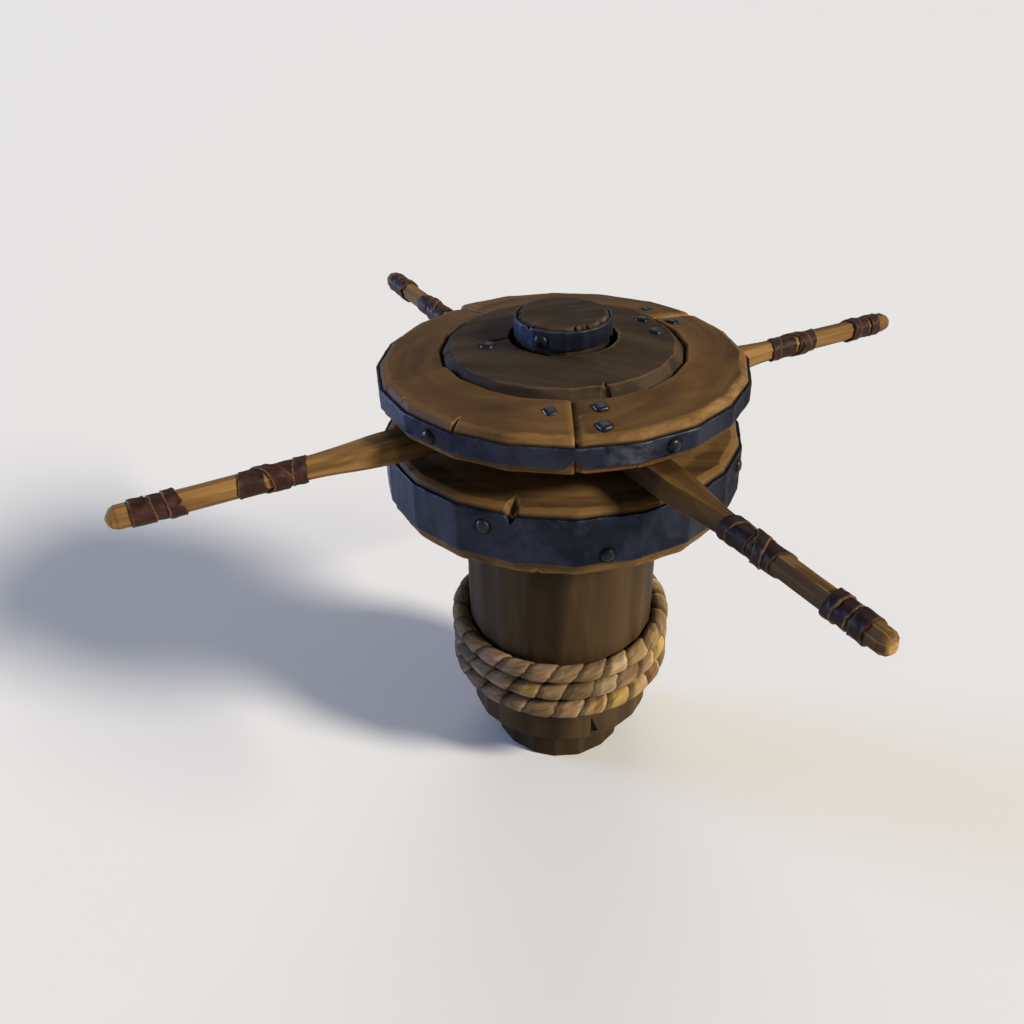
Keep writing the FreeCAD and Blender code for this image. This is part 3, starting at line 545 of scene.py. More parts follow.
def leather(name="grip_leather"):
    t = Tree(name)
    g = t.attr("grain", True)
    big = t.noise(g, 22.0, 3, 0.55, 0.5)
    v = t.add("ShaderNodeTexVoronoi", feature="F1")
    t.link(g, v.inputs["Vector"])
    v.inputs["Scale"].default_value = 420.0
    pores = v.outputs["Distance"]
    crease = t.noise(t.mapped(g, (60, 60, 60)), 1.0, 4, 0.6, 1.2)
    col = t.ramp(big, [(0.32, (0.020, 0.0076, 0.0060)), (0.52, (0.034, 0.0130, 0.0098)), (0.72, (0.050, 0.0195, 0.0140))])
    col = t.mix(t.ramp(crease, [(0.32, 0.55), (0.46, 0.0)]), col, (0.010, 0.005, 0.005))
    col = t.mix(1.0, col, t.ramp(t.attr("tone"), [(0.0, 0.38), (1.0, 1.45)]), "MULTIPLY")
    w = t.math("MULTIPLY", t.attr("wear_and_highlight"), t.ramp(big, [(0.4, 0.3), (0.6, 1.0)]))
    col = t.mix(t.math("MULTIPLY", w, 0.16), col, (0.11, 0.050, 0.030))
    e = t.ramp(t.math("ADD", t.attr("edge"), t.math("MULTIPLY", t.math("SUBTRACT", t.noise(g, 70.0, 2, 0.5), 0.5), 0.5)), [(0.12, 0.0), (0.95, 1.0)])
    tan = t.ramp(t.noise(g, 90.0, 3, 0.6), [(0.34, (0.060, 0.031, 0.012)), (0.62, (0.150, 0.084, 0.032))])
    col = t.mix(e, col, tan)
    # painted shade in hollows
    col = t.mix(t.ramp(t.attr("hollow_shade"), [(0.12, 0.0), (0.6, 0.92)]), col, (0.006, 0.004, 0.003))
    col = t.mix(t.math("MULTIPLY", t.attr("painted_shade"), 0.95), col, (0.006, 0.004, 0.003))
    t.link(col, t.bsdf.inputs["Base Color"])
    t.link(t.ramp(big, [(0.35, 0.44), (0.65, 0.6)]), t.bsdf.inputs["Roughness"])
    t.bsdf.inputs["Specular IOR Level"].default_value = 0.10
    h = t.math("ADD", t.math("MULTIPLY", pores, 0.3), crease)
    t.link(t.bump(h, 0.4, 0.001), t.bsdf.inputs["Normal"])
    return t.mat


def hemp(name="laid_rope"):
    """Stranded rope: each show of a strand has its own tint, which carries painted light and shade, with fibres
    running along it and painted shade in its grooves.
    """
    t = Tree(name)
    g = t.attr("grain", True)
    col = t.attr("tint", True)
    fibre = t.noise(t.mapped(g, (18, 330, 330)), 1.0, 3, 0.6, 0.2)
    wide = t.noise(t.mapped(g, (22, 70, 70), (2, 6, 1)), 1.0, 2, 0.5, 0.3)
    col = t.mix(t.ramp(wide, [(0.36, 0.5), (0.52, 0.0)]), col, t.mix(1.0, col, (0.42, 0.38, 0.32), "MULTIPLY"))
    col = t.mix(t.ramp(wide, [(0.54, 0.0), (0.68, 0.5)]), col, t.mix(1.0, col, (1.45, 1.42, 1.35), "MULTIPLY"))
    col = t.mix(t.ramp(fibre, [(0.34, 0.24), (0.48, 0.0)]), col, t.mix(1.0, col, (0.36, 0.32, 0.28), "MULTIPLY"))
    col = t.mix(t.ramp(fibre, [(0.56, 0.0), (0.70, 0.20)]), col, t.mix(1.0, col, (1.6, 1.55, 1.4), "MULTIPLY"))
    # painted shade in the grooves between lumps
    col = t.mix(t.ramp(t.attr("hollow_shade"), [(0.05, 0.0), (1.0, 0.93)]), col, (0.026, 0.017, 0.009))
    t.link(col, t.bsdf.inputs["Base Color"])
    t.bsdf.inputs["Roughness"].default_value = 0.82
    t.bsdf.inputs["Specular IOR Level"].default_value = 0.15
    t.link(t.bump(t.math("ADD", fibre, t.math("MULTIPLY", wide, 0.8)), 0.7, 0.0016), t.bsdf.inputs["Normal"])
    return t.mat


RING_WOOD = wood("ring_oak", (0.049, 0.0248, 0.0088), (0.080, 0.0412, 0.0140), (0.112, 0.0592, 0.0202), (0.36, 0.205, 0.078),
                 brush=(3.4, 14, 14), strokes=0.5, fibres=0.10)
LOWER_WOOD = wood("lower_disc_oak", (0.056, 0.0290, 0.0110), (0.096, 0.0510, 0.0180), (0.134, 0.0730, 0.0265), (0.34, 0.20, 0.085),
                  brush=(3, 20, 20), strokes=0.65, fibres=0.16)
INNER_WOOD = wood("inner_disc_oak", (0.0190, 0.0126, 0.0078), (0.0310, 0.0208, 0.0126), (0.0470, 0.0312, 0.0183), (0.135, 0.085, 0.048), spec=0.06,
                  brush=(3.0, 13, 13), strokes=0.6, fibres=0.14)
BARREL_WOOD = wood("barrel_oak", (0.0285, 0.0177, 0.0088), (0.0470, 0.0290, 0.0136), (0.0760, 0.0460, 0.0205), (0.15, 0.09, 0.042),
                   broad=(1.2, 7, 7), brush=(1.2, 10, 10), strokes=0.32, fibres=0.05, rim_gain=0.45)
BAR_WOOD = wood("bar_ash", (0.078, 0.0400, 0.0135), (0.145, 0.0770, 0.0252), (0.215, 0.1180, 0.0395), (0.42, 0.25, 0.095),
                broad=(1.2, 10, 10), brush=(2.0, 28, 28), strokes=0.6, fibres=0.12, rim_gain=0.8)
IRON = iron()
NAIL_IRON = iron("nail_iron", (0.0065, 0.0078, 0.0105), (0.0170, 0.0200, 0.0260), (0.12, 0.14, 0.16), 0.35, 0.4, 0.22, (0.30, 0.44))
LEATHER = leather()
HEMP = hemp()

# ------------------------------------------------------------------ camera
FIT = -31.0 * D2R
YAW, PITCH, ROLL = -3.22 * D2R, 31.74 * D2R, -1.09 * D2R
fw = Vector((math.sin(YAW) * math.cos(PITCH), math.cos(YAW) * math.cos(PITCH), -math.sin(PITCH)))
right = Vector((math.cos(YAW), -math.sin(YAW), 0))
up = right.cross(fw)
r2 = math.cos(ROLL) * right + math.sin(ROLL) * up
u2 = -math.sin(ROLL) * right + math.cos(ROLL) * up
turn = Matrix.Rotation(FIT, 3, "Z")
r2, u2, fw = turn @ r2, turn @ u2, turn @ fw
eye = turn @ Vector((0, -2.4188, 1.1644)) + Vector((0, 0, BAR_Z))
cam_data = bpy.data.cameras.new("view")
cam_data.sensor_width = 36.0
cam_data.lens = 36.0 * 1023.5 / 1024
cam_data.clip_end = 100
cam = bpy.data.objects.new("view", cam_data)
bpy.context.scene.collection.objects.link(cam)
cam.matrix_world = Matrix((
    (r2.x, u2.x, -fw.x, eye.x),
    (r2.y, u2.y, -fw.y, eye.y),
    (r2.z, u2.z, -fw.z, eye.z),
    (0, 0, 0, 1),
))
bpy.context.scene.camera = cam

# -------------------------------------------------------------------- rope
# The route of the rope: three turns round the barrel, each nearly level in
# front and dropping to the next behind, both ends led into the barrel.
FRONT = -121.0
BACK = FRONT + 180.0
ROPE_R = 0.0255
ROUTE_R = 0.2929
LEVELS = (0.428, 0.367, 0.303)


def rope_level(turn_no):
    k = min(2, int(turn_no))
    part = turn_no - k
    tilt = -0.06 * ROUTE_R * math.cos(2 * math.pi * (part - 0.5))
    level = LEVELS[k]
    if part > 0.78 and k < 2:
        level += (LEVELS[k + 1] - level) * (part - 0.78) / 0.44
    if part < 0.22 and k > 0:
        level = LEVELS[k - 1] + (LEVELS[k] - LEVELS[k - 1]) * (part + 0.22) / 0.44
    return level + tilt


def rope_point(radius, turn_no, level):
    a = (BACK - 360.0 * turn_no) * D2R
    return (radius * math.cos(a), radius * math.sin(a), level)


top_level, low_level = rope_level(0.0), rope_level(2.9999)
route = [
    rope_point(0.196, -0.105, top_level + 0.002),
    rope_point(0.243, -0.082, top_level + 0.002),
    rope_point(0.279, -0.044, top_level + 0.001),
]
for i in range(73):
    route.append(rope_point(ROUTE_R, i / 24, rope_level(min(i / 24, 2.9999))))
route += [
    rope_point(0.279, 3.044, low_level - 0.001),
    rope_point(0.243, 3.082, low_level - 0.002),
    rope_point(0.196, 3.105, low_level - 0.002),
]
curve = bpy.data.curves.new("rope_line", "CURVE")
curve.dimensions = "3D"
curve.resolution_u = 8
spline = curve.splines.new("NURBS")
spline.points.add(len(route) - 1)
for p, q in zip(spline.points, route):
    p.co = (*q, 1)
spline.order_u = 3
spline.use_endpoint_u = True
line_ob = bpy.data.objects.new("rope_line", curve)
bpy.context.scene.collection.objects.link(line_ob)
bpy.context.view_layer.update()
line_me = bpy.data.meshes.new_from_object(line_ob)
line = np.array([v.co for v in line_me.vertices], float)
bpy.data.objects.remove(line_ob)
bpy.data.curves.remove(curve)
bpy.data.meshes.remove(line_me)
seg = np.linalg.norm(np.diff(line, axis=0), axis=1)
along = np.concatenate([[0], np.cumsum(seg)])
ROPE_LENGTH = float(along[-1])

step_n = int(ROPE_LENGTH / 0.0019)
S = np.linspace(0, ROPE_LENGTH, step_n + 1)
C = np.stack([np.interp(S, along, line[:, k]) for k in range(3)], 1)
for _ in range(12):
    C[1:-1] = 0.25 * C[:-2] + 0.5 * C[1:-1] + 0.25 * C[2:]
T = np.gradient(C, axis=0)
T /= np.linalg.norm(T, axis=1)[:, None]
radial = C * np.array([1, 1, 0])
radial /= np.linalg.norm(radial, axis=1)[:, None]
A = radial - (radial * T).sum(1)[:, None] * T
A /= np.linalg.norm(A, axis=1)[:, None]
B = np.cross(T, A)
# The lay of the rope: each show of a strand is a slanting lump, thickest where
# it rides over the one beside it and sinking into a groove at its other side.
PITCH = 0.0715
STARTS = 1
around = 44
th = np.linspace(-math.pi, math.pi, around, endpoint=False)
SS = np.repeat(S[:, None], around, 1)
TH = np.repeat(th[None, :], len(S), 0)
shape3 = np.stack([SS.ravel() * 9.0, np.cos(TH).ravel() * 0.6, np.sin(TH).ravel() * 0.6], 1)
wob = 0.16 * noise(shape3, 21).reshape(SS.shape) + 0.05 * noise(shape3 * 4.0, 22).reshape(SS.shape)
Q = SS / PITCH + STARTS * TH / (2 * math.pi) + wob
number = np.floor(Q).astype(int)
U = Q - number
number = number - number.min()
rope_rng = np.random.default_rng(12)
count = number.max() + 2
size = rope_rng.uniform(-0.045, 0.02, count)
dist = np.minimum(U, 1 - U) * PITCH * 0.9
over = 1 - 0.085 * smooth(U, 0.10, 1.0) - 0.075 * np.clip(1 - U / 0.06, 0, 1) ** 1.5
bulge = 0.035 * np.sin(math.pi * np.clip(U * 1.05, 0, 1)) - 0.02
groove = 0.0026 * np.exp(-(dist / 0.0030) ** 2)
R_here = ROPE_R * (over + bulge + size[number]) - groove
split = rope_rng.uniform(0.30, 0.75, count)
fine = 0.00045 * noise(np.stack([SS.ravel() * 30, TH.ravel() * 6.0, np.zeros(SS.size)], 1), 44).reshape(SS.shape)
R_here = R_here + fine - 0.0006 * np.exp(-((U - split[number]) * PITCH / 0.0025) ** 2)
ringv = A[:, None, :] * np.cos(TH)[:, :, None] + B[:, None, :] * np.sin(TH)[:, :, None]
rope_v = C[:, None, :] + ringv * R_here[:, :, None]
nj = len(S)
idx = np.arange(nj * around).reshape(nj, around)
nxt = np.roll(idx, -1, 1)
rope_f = np.stack([idx[:-1].ravel(), idx[1:].ravel(), nxt[1:].ravel(), nxt[:-1].ravel()], 1)
PALETTE = np.array([
    (0.245, 0.150, 0.083), (0.290, 0.182, 0.110), (0.200, 0.128, 0.066), (0.240, 0.158, 0.078), (0.165, 0.108, 0.056),
    (0.220, 0.110, 0.045), (0.350, 0.235, 0.085), (0.265, 0.172, 0.098), (0.350, 0.250, 0.150),
])
pick = rope_rng.choice(len(PALETTE), count, p=[0.18, 0.15, 0.15, 0.15, 0.09, 0.07, 0.08, 0.08, 0.05])
pick2 = np.where(rope_rng.uniform(0, 1, count) < 0.55, pick, rope_rng.choice(len(PALETTE), count))
lum = rope_rng.uniform(0.86, 1.14, count)
side_mix = smooth(U, split[number] - 0.03, split[number] + 0.03)[:, :, None]
tint = PALETTE[pick[number]] * (1 - side_mix) + (PALETTE[pick2[number]] * 0.62 + PALETTE[pick[number]] * 0.38) * 0.92 * side_mix
tint = tint * (0.80 * lum[number][:, :, None])
# painted highlight: a pale strip along the raised edge of some lumps
pale_highlight = rope_rng.uniform(0, 1, count) ** 1.3
painted_lip_highlight = (smooth(U, 0.02, 0.06) * (1 - smooth(U, 0.13, 0.24)))[:, :, None] * pale_highlight[number][:, :, None]
tint = tint * (1 - 0.40 * painted_lip_highlight) + np.array((0.46, 0.36, 0.235)) * 0.40 * painted_lip_highlight
# painted light and shade: the rope is paler on its lit side and browner on the other
lie = np.arctan2(C[:, 1], C[:, 0])[:, None, None]
rope_side_light = 0.5 + 0.5 * np.cos(lie + 62.0 * D2R)
tint = tint * (0.36 + 0.92 * rope_side_light) * (np.array((0.97, 0.98, 0.94)) + np.array((0.05, 0.02, -0.04)) * rope_side_light)
rope = mesh_object("rope_laid", rope_v.reshape(-1, 3), rope_f, ngons=[idx[0], idx[-1][::-1]])
attribute(rope, "tint", tint.reshape(-1, 3))
grain_th = TH + SS * 14.0
attribute(rope, "grain", np.stack([SS.ravel(), np.cos(grain_th).ravel() * ROPE_R, np.sin(grain_th).ravel() * ROPE_R], 1))
# painted shade in the groove before each lump
deep = rope_rng.uniform(0.40, 0.74, count)[number]
from_u = rope_rng.uniform(0.60, 0.74, count)[number]
shade = 0.30 * np.exp(-(dist / 0.0022) ** 2) + deep * smooth(U, from_u, from_u + 0.14) + 0.50 * (1 - smooth(U, 0.0, 0.07))
attribute(rope, "hollow_shade", np.clip(shade, 0, 1).ravel())
settle(rope, "drum", HEMP, ["rope"])


# ------------------------------------------------------------------- grain
def flat_grain(V, azimuth, curve_amt=0.0):
    """Grain running straight along an azimuth, in metres."""
    a = azimuth * D2R
    x = V[:, 0] * math.cos(a) + V[:, 1] * math.sin(a)
    y = -V[:, 0] * math.sin(a) + V[:, 1] * math.cos(a)
    return np.stack([x, y + curve_amt * x * x, V[:, 2]], 1)


def round_grain(V, back_az=59.0, scale=0.265):
    """Grain running up a turned piece; its join lies at the back."""
    phi = np.mod(np.degrees(np.arctan2(V[:, 1], V[:, 0])) - back_az, 360.0)
    r = np.hypot(V[:, 0], V[:, 1])
    return np.stack([V[:, 2], phi * D2R * scale, r], 1)


def nick(F, r, z, G, az, half, depth, re, ze, out=0.7071, lift=0.7071, slant=0.0):
    """A clean V cut across an edge at (re, ze), as (dr, dz)."""
    t = np.mod(F - az + 180.0, 360.0) - 180.0
    arc = t * D2R * re
    s = (r - re * G) * out + (z - ze) * lift
    d = depth * np.clip(1 - np.abs(arc - slant * s) / half, 0, 1)
    push = np.maximum(s + d, 0) * (d > 0)
    return -push * out, -push * lift


def rim_wander(F, seed, amp, freq=7.0):
    a = F * D2R
    X = np.stack([np.cos(a).ravel() * freq, np.sin(a).ravel() * freq, np.zeros(F.size)], 1)
    return amp * noise(X, seed).reshape(F.shape)


# ------------------------------------------------------------ drumhead top
UP = Facets(20, -117.4, 5)
LOWF = Facets(20, -117.4 + 1.0, 8)
BARF = Facets(20, -121.0, 9, ja=1.2, jr=0.004, gain=1.004, round_deg=1.6)
FOOTF = Facets(16, -124.0, 10, ja=2.0, jr=0.005, gain=1.004, round_deg=1.2)
CAPF = Facets(18, -117.0, 12, ja=1.0, jr=0.004, gain=1.006, round_deg=0.8)

SEAMS = [("ring_right", -117.4, 8.7), ("ring_back_right", 8.7, 98.9), ("ring_back_left", 98.9, 173.0), ("ring_front_left", 173.0, 242.6)]
RING_DZ = {"ring_right": -0.0008, "ring_back_right": 0.002, "ring_back_left": -0.006, "ring_front_left": 0.0012}
RING_TONE = {"ring_right": 0.50, "ring_back_right": 0.50, "ring_back_left": 0.40, "ring_front_left": 0.52}
ring_corners = [
    (0.310, IN_BOT + 0.001, 0.0), (0.400, IN_BOT + 0.001, 0.0), (0.400, RING_BOT, 0.0),
    (0.463, RING_BOT, 0.007), (0.4635, UB0 + 0.002, 0.0), (0.4640, UB1 - 0.002, 0.0), (0.4625, 1.2035, 0.003),
    (0.4570, 1.2135, 0.006), (0.440, 1.2200, 0.012), (0.310, 1.2400, 0.0075),
]
RING_NICKS = ((-152.7, 0.0085, 0.0150), (-176.0, 0.006, 0.007), (-62.0, 0.010, 0.006), (30.0, 0.012, 0.010), (141.0, 0.014, 0.012),
              (70.0, 0.009, 0.008), (-30.0, 0.008, 0.006))


def add2(a, b):
    return a[0] + b[0], a[1] + b[1]


def ring_shape(name):
    def shape(F, r, z, nr, nz, G):
        top = smooth(z, 1.19, 1.215)
        off = rim_wander(F, 3, 0.0016, 9.0) * smooth(r, 0.43, 0.46) * top
        d = (nr * off, nz * off + RING_DZ[name] * top)
        for az, half, dep in RING_NICKS:
            d = add2(d, nick(F, r, z, G, az, half, dep, 0.4570, 1.2165))
        d = add2(d, nick(F, r, z, G, -100.0, 0.010, 0.006, 0.463, RING_BOT, 0.7, -0.7))
        return d
    return shape


def stored(ob, name):
    vals = np.zeros(len(ob.data.vertices), np.float32)
    ob.data.attributes[name].data.foreach_get("value", vals)
    return vals


def side_of(F, centre, width):
    return np.exp(-((np.mod(F - centre + 180.0, 360.0) - 180.0) / width) ** 2)


def painted_rim(ob, F, facets, inner, width, sway, seed, level, most=0.34):
    """A painted highlight band along a disc's edge, brightest towards the lit side, with a wandering inner border."""
    V = coords(ob)
    rr = np.hypot(V[:, 0], V[:, 1]) / facets.gain(F)
    border = inner + rim_wander(F, seed, sway, 5.0) + rim_wander(F, seed + 1, sway * 0.5, 14.0)
    band_ = smooth(rr, border, border + width) * smooth(V[:, 2], level, level + 0.006)
    vals = np.zeros(len(V), np.float32)
    ob.data.attributes["painted_highlight"].data.foreach_get("value", vals)
    lit_side_gain = 1.0 + 0.9 * np.exp(-((np.mod(F + 52.0 + 180.0, 360.0) - 180.0) / 42.0) ** 2)
    attribute(ob, "painted_highlight", np.maximum(vals, np.minimum(band_ * most * lit_side_gain, 1.0)))


def ring_grain(V, shift):
    phi = np.arctan2(V[:, 1], V[:, 0]) - (-117.4 * D2R)
    phi = np.mod(phi, 2 * math.pi)
    r = np.hypot(V[:, 0], V[:, 1])
    # strokes follow the ring, with a drift across it as sawn planks have
    return np.stack([phi * 0.39, r + 0.05 * np.sin(phi * 2.0 + shift), V[:, 2] + shift], 1)


for k, (name, a0, a1) in enumerate(SEAMS):
    gap0 = 0.05 if name == "ring_right" else 0.20
    gap1 = 0.05 if name == "ring_front_left" else 0.20
    e0, e1 = (0.019, 0.0105), (0.019, 0.0105)
    if name == "ring_front_left":
        e0, e1 = (0.006, 0.003), (0.009, 0.0050)
    if name == "ring_right":
        e0 = (0.027, 0.0130)
    if name == "ring_back_left":
        e1 = (0.006, 0.003)
    feats = [(az, half / 0.457 / D2R + 0.6, 0.3) for az, half, dep in RING_NICKS]
    ob, F, r, z = lathe(
        name + "_plank", ring_corners, UP, a0 + gap0, a1 - gap1, step=0.0055, base=0.62,
        feats=feats, shape=ring_shape(name), ends=(e0, e1), rough=0.0005, seed=int(abs(a0)) + 3, hew=0.0012)
    V = coords(ob)
    attribute(ob, "grain", ring_grain(V, 0.37 * k))
    seam_arc = (np.mod(F + 117.4 + 180.0, 360.0) - 180.0) * D2R * np.hypot(V[:, 0], V[:, 1])
    bright = 0.36 * np.exp(-(seam_arc / 0.13) ** 2) if name == "ring_front_left" else 0.0
    attribute(ob, "tone", RING_TONE[name] + bright - 0.22 * np.exp(-((np.mod(F - 190.0 + 180.0, 360.0) - 180.0) / 28.0) ** 2))
    edge_marks(ob, 0.0050, 0.013)
    painted_rim(ob, F, UP, 0.4380, 0.0085, 0.0050, 91, 1.195)
    # painted highlight along the ring's outer edge, strongest on the lit right side and at the front
    rr = np.hypot(V[:, 0], V[:, 1]) / UP.gain(F)
    start = 0.4430 + rim_wander(F, 191, 0.0050, 6.0) + rim_wander(F, 192, 0.0022, 17.0)
    rim_highlight_strip = smooth(rr, start, start + 0.0060) * (V[:, 2] > 1.199)
    attribute(ob, "wear_and_highlight", np.maximum(stored(ob, "wear_and_highlight"), rim_highlight_strip * (0.06 + 0.22 * side_of(F, -62.0, 34.0) + 0.12 * side_of(F, -120.0, 22.0))))
    if name == "ring_front_left":
        # painted highlight along the end of this plank at the joint
        vals = np.zeros(len(V), np.float32)
        ob.data.attributes["painted_highlight"].data.foreach_get("value", vals)
        attribute(ob, "painted_highlight", np.maximum(vals, 0.36 * smooth(seam_arc, -0.020, -0.010) * (V[:, 2] > 1.19)))
    # painted shade where the wood meets the hoop
    rz = np.hypot(V[:, 0], V[:, 1])
    hoop_line_shade = 0.9 * (1 - smooth(V[:, 2], UB1 - 0.001, UB1 + 0.0075)) * smooth(V[:, 2], UB1 - 0.012, UB1 - 0.006) * smooth(rz, 0.452, 0.46)
    if name == "ring_right":
        # painted shade on this plank's end bevel at the joint, fading across the plank
        t = (F - a0) * D2R * rz
        joint_shade = 0.46 * (1 - smooth(t, 0.0125, 0.0165)) + 0.20 * (1 - smooth(t, 0.018, 0.060)) * (1 - 0.7 * smooth(rz, 0.40, 0.44))
        hoop_line_shade = np.maximum(hoop_line_shade, joint_shade * smooth(t, -0.01, 0.0))
    attribute(ob, "painted_shade", hoop_line_shade)
    settle(ob, "drum", RING_WOOD, [name])


LOWER_RIVETS = ((-143.9, 0.971), (-107.4, 0.911), (-47.6, 0.973), (-2.0, 0.911), (35.0, 0.972), (71.0, 0.911), (107.0, 0.971), (142.0, 0.911))
UPPER_RIVETS = ((-161.5, 1.165), (-88.9, 1.170), (-17.0, 1.168), (55.0, 1.171), (127.0, 1.169))


def band(name, radius, z0, z1, thick, facets, shape=None, feats=(), seed=3, heads=()):
    corners = [
        (radius - thick - 0.001, z0, 0.0), (radius, z0, 0.0018), (radius, z1, 0.0018), (radius - thick - 0.001, z1, 0.0),
    ]
    ob, F, r, z = lathe(name, corners, facets, 0.0, 360.0, step=0.0040, base=0.6, feats=feats, shape=shape,
                        rough=0.0004, seed=seed, hew=0.0012)
    V = coords(ob)
    attribute(ob, "grain", V)
    edge_marks(ob, 0.0030, 0.010, 3.2)
    # painted shade on the hoop's faces that stand back from its outer face
    edge_r = radius * facets.gain(F) - 0.0026
    painted_shade = 0.88 * smooth(edge_r - np.hypot(V[:, 0], V[:, 1]), 0.0, 0.0018)
    # painted shade: one side of the hoops is darkened, except along their bright edges
    rubbed = np.clip(stored(ob, "wear_and_highlight") * 3.0, 0, 1)
    painted_shade = np.maximum(painted_shade, 0.93 * np.exp(-((np.mod(F + 34.0 + 180.0, 360.0) - 180.0) / 42.0) ** 4) * (1 - 0.8 * rubbed))
    # painted shade ringing each rivet head, and a painted shadow below it
    for az, level in heads:
        t = (np.mod(F - az + 180.0, 360.0) - 180.0) * D2R * radius
        d = np.hypot(t, V[:, 2] - level)
        painted_shade = np.maximum(painted_shade, 0.92 * np.exp(-((d - 0.0185) / 0.0034) ** 2))
        painted_shade = np.maximum(painted_shade, 0.5 * np.exp(-(np.hypot(t + 0.004, V[:, 2] - level + 0.006) / 0.022) ** 4))
    attribute(ob, "painted_shade", painted_shade)
    return ob


def upper_band_shape(F, r, z, nr, nz, G):
    t = np.mod(F + 117.4 + 180.0, 360.0) - 180.0
    arc = np.abs(t) * D2R * r
    cut = 0.0255 * np.clip(1 - arc / 0.0215, 0, 1)
    dz = cut * np.clip((UB0 + 0.030 - z) / 0.030, 0, 1)
    off = rim_wander(F, 13, 0.0010, 11.0) * np.where(nr > 0.5, 1, 0)
    dz = dz + rim_wander(F, 15, 0.0018, 8.0) * np.clip((UB0 + 0.02 - z) / 0.02, 0, 1)
    dz = dz + rim_wander(F, 16, 0.0014, 8.0) * np.clip((z - UB1 + 0.02) / 0.02, 0, 1)
    return nr * off, nz * off + dz


ob = band("upper_hoop", UBR, UB0, UB1, 0.0085, UP, upper_band_shape, [(-117.4, 3.4, 0.22)] + [(az, 3.2, 0.45) for az, lev in UPPER_RIVETS], 4, UPPER_RIVETS)
# a painted highlight on the hoop beside the front joint
F_ = np.degrees(np.arctan2(coords(ob)[:, 1], coords(ob)[:, 0]))
vals = np.zeros(len(F_), np.float32)
ob.data.attributes["wear_and_highlight"].data.foreach_get("value", vals)
attribute(ob, "wear_and_highlight", np.maximum(vals, 0.30 * np.exp(-((F_ + 101.0) / 9.0) ** 2)))
settle(ob, "drum", IRON, ["upper_band"])

# inner disc, two halves
inner_corners = [
    (0.1365, IN_BOT, 0.0), (0.3035, IN_BOT, 0.0), (0.3035, 1.2300, 0.003), (0.2880, 1.2490, 0.0030), (0.2800, 1.2540, 0.004),
    (0.139, 1.2712, 0.004), (0.1365, 1.268, 0.002),
]
INNER_NICKS = ((-178.0, 0.012, 0.006), (60.0, 0.012, 0.006), (110.0, 0.012, 0.006))


def inner_shape(F, r, z, nr, nz, G):
    top = smooth(z, 1.205, 1.225)
    off = rim_wander(F, 23, 0.0014, 9.0) * smooth(r, 0.27, 0.29) * top
    d = (nr * off, nz * off)
    # the split in the front edge
    t = np.mod(F + 101.5 + 180.0, 360.0) - 180.0
    arc = t * D2R * r
    w = 0.0030 + 0.0105 * smooth(r, 0.270, 0.300)
    deep = 0.0030 + 0.016 * smooth(r, 0.270, 0.302)
    inside = np.clip(1 - np.abs(arc - 0.25 * (0.30 - r)) / w, 0, 1)
    d = add2(d, (-0.35 * deep * inside * top * smooth(r, 0.29, 0.303), -deep * inside * smooth(r, 0.267, 0.274) * top))
    for az, half, dep in INNER_NICKS:
        d = add2(d, nick(F, r, z, G, az, half, dep, 0.2895, 1.2525, 0.5, 0.866))
    return d


inner_feats = [(-101.5, 3.2, 0.22), (258.5, 3.2, 0.22)]
for az, half, dep in INNER_NICKS:
    inner_feats.append((az, half / 0.289 / D2R + 0.8, 0.45))
for name, a0, a1, tone, gaz in (("inner_disc_back", -10.0, 159.0, 0.40, 158.0), ("inner_disc_front", 159.0, 350.0, 0.53, -50.0)):
    ob, F, r, z = lathe(name + "_plank", inner_corners, UP, a0 + 0.2, a1 - 0.2, step=0.0045, base=0.85,
                        feats=inner_feats, shape=inner_shape,
                        ends=((0.010, 0.006), (0.010, 0.006)), rough=0.0005, seed=40, hew=0.0014)
    V = coords(ob)
    attribute(ob, "grain", flat_grain(V, gaz) + np.array([0, 0, a0]))
    attribute(ob, "tone", np.full(len(V), tone))
    edge_marks(ob, 0.0045, 0.011)
    painted_rim(ob, F, UP, 0.2800, 0.0040, 0.0012, 93, 1.231, 0.16)
    # a painted highlight line follows the top of the bevel, strongest at the front
    vals = np.zeros(len(V), np.float32)
    ob.data.attributes["painted_highlight"].data.foreach_get("value", vals)
    line_r = np.hypot(V[:, 0], V[:, 1]) / UP.gain(F)
    pale_highlight = 0.62 * np.exp(-((line_r - 0.2822 + rim_wander(F, 97, 0.0006, 4.0)) / 0.0022) ** 2)
    pale_highlight = pale_highlight * (0.60 + 0.40 * np.exp(-((np.mod(F + 100.0 + 180.0, 360.0) - 180.0) / 48.0) ** 2)) * (V[:, 2] > 1.24)
    attribute(ob, "painted_highlight", np.maximum(vals, pale_highlight))
    vals = np.zeros(len(V), np.float32)
    ob.data.attributes["wear_and_highlight"].data.foreach_get("value", vals)
    # painted highlight round the mouth of the hole, strongest on the lit side
    mouth = (1 - smooth(line_r, 0.1400, 0.1475)) * (V[:, 2] > 1.262) * (0.15 + 0.45 * side_of(F, -45.0, 45.0))
    attribute(ob, "wear_and_highlight", np.maximum(np.maximum(vals, 0.75 * pale_highlight), mouth))
    # painted shade low on the disc's outer edge, next to the ring
    rr = np.hypot(V[:, 0], V[:, 1])
    attribute(ob, "painted_shade", 0.85 * (1 - smooth(V[:, 2], 1.210, 1.231)) * smooth(rr, 0.28, 0.29))
    settle(ob, "drum", INNER_WOOD, [name])

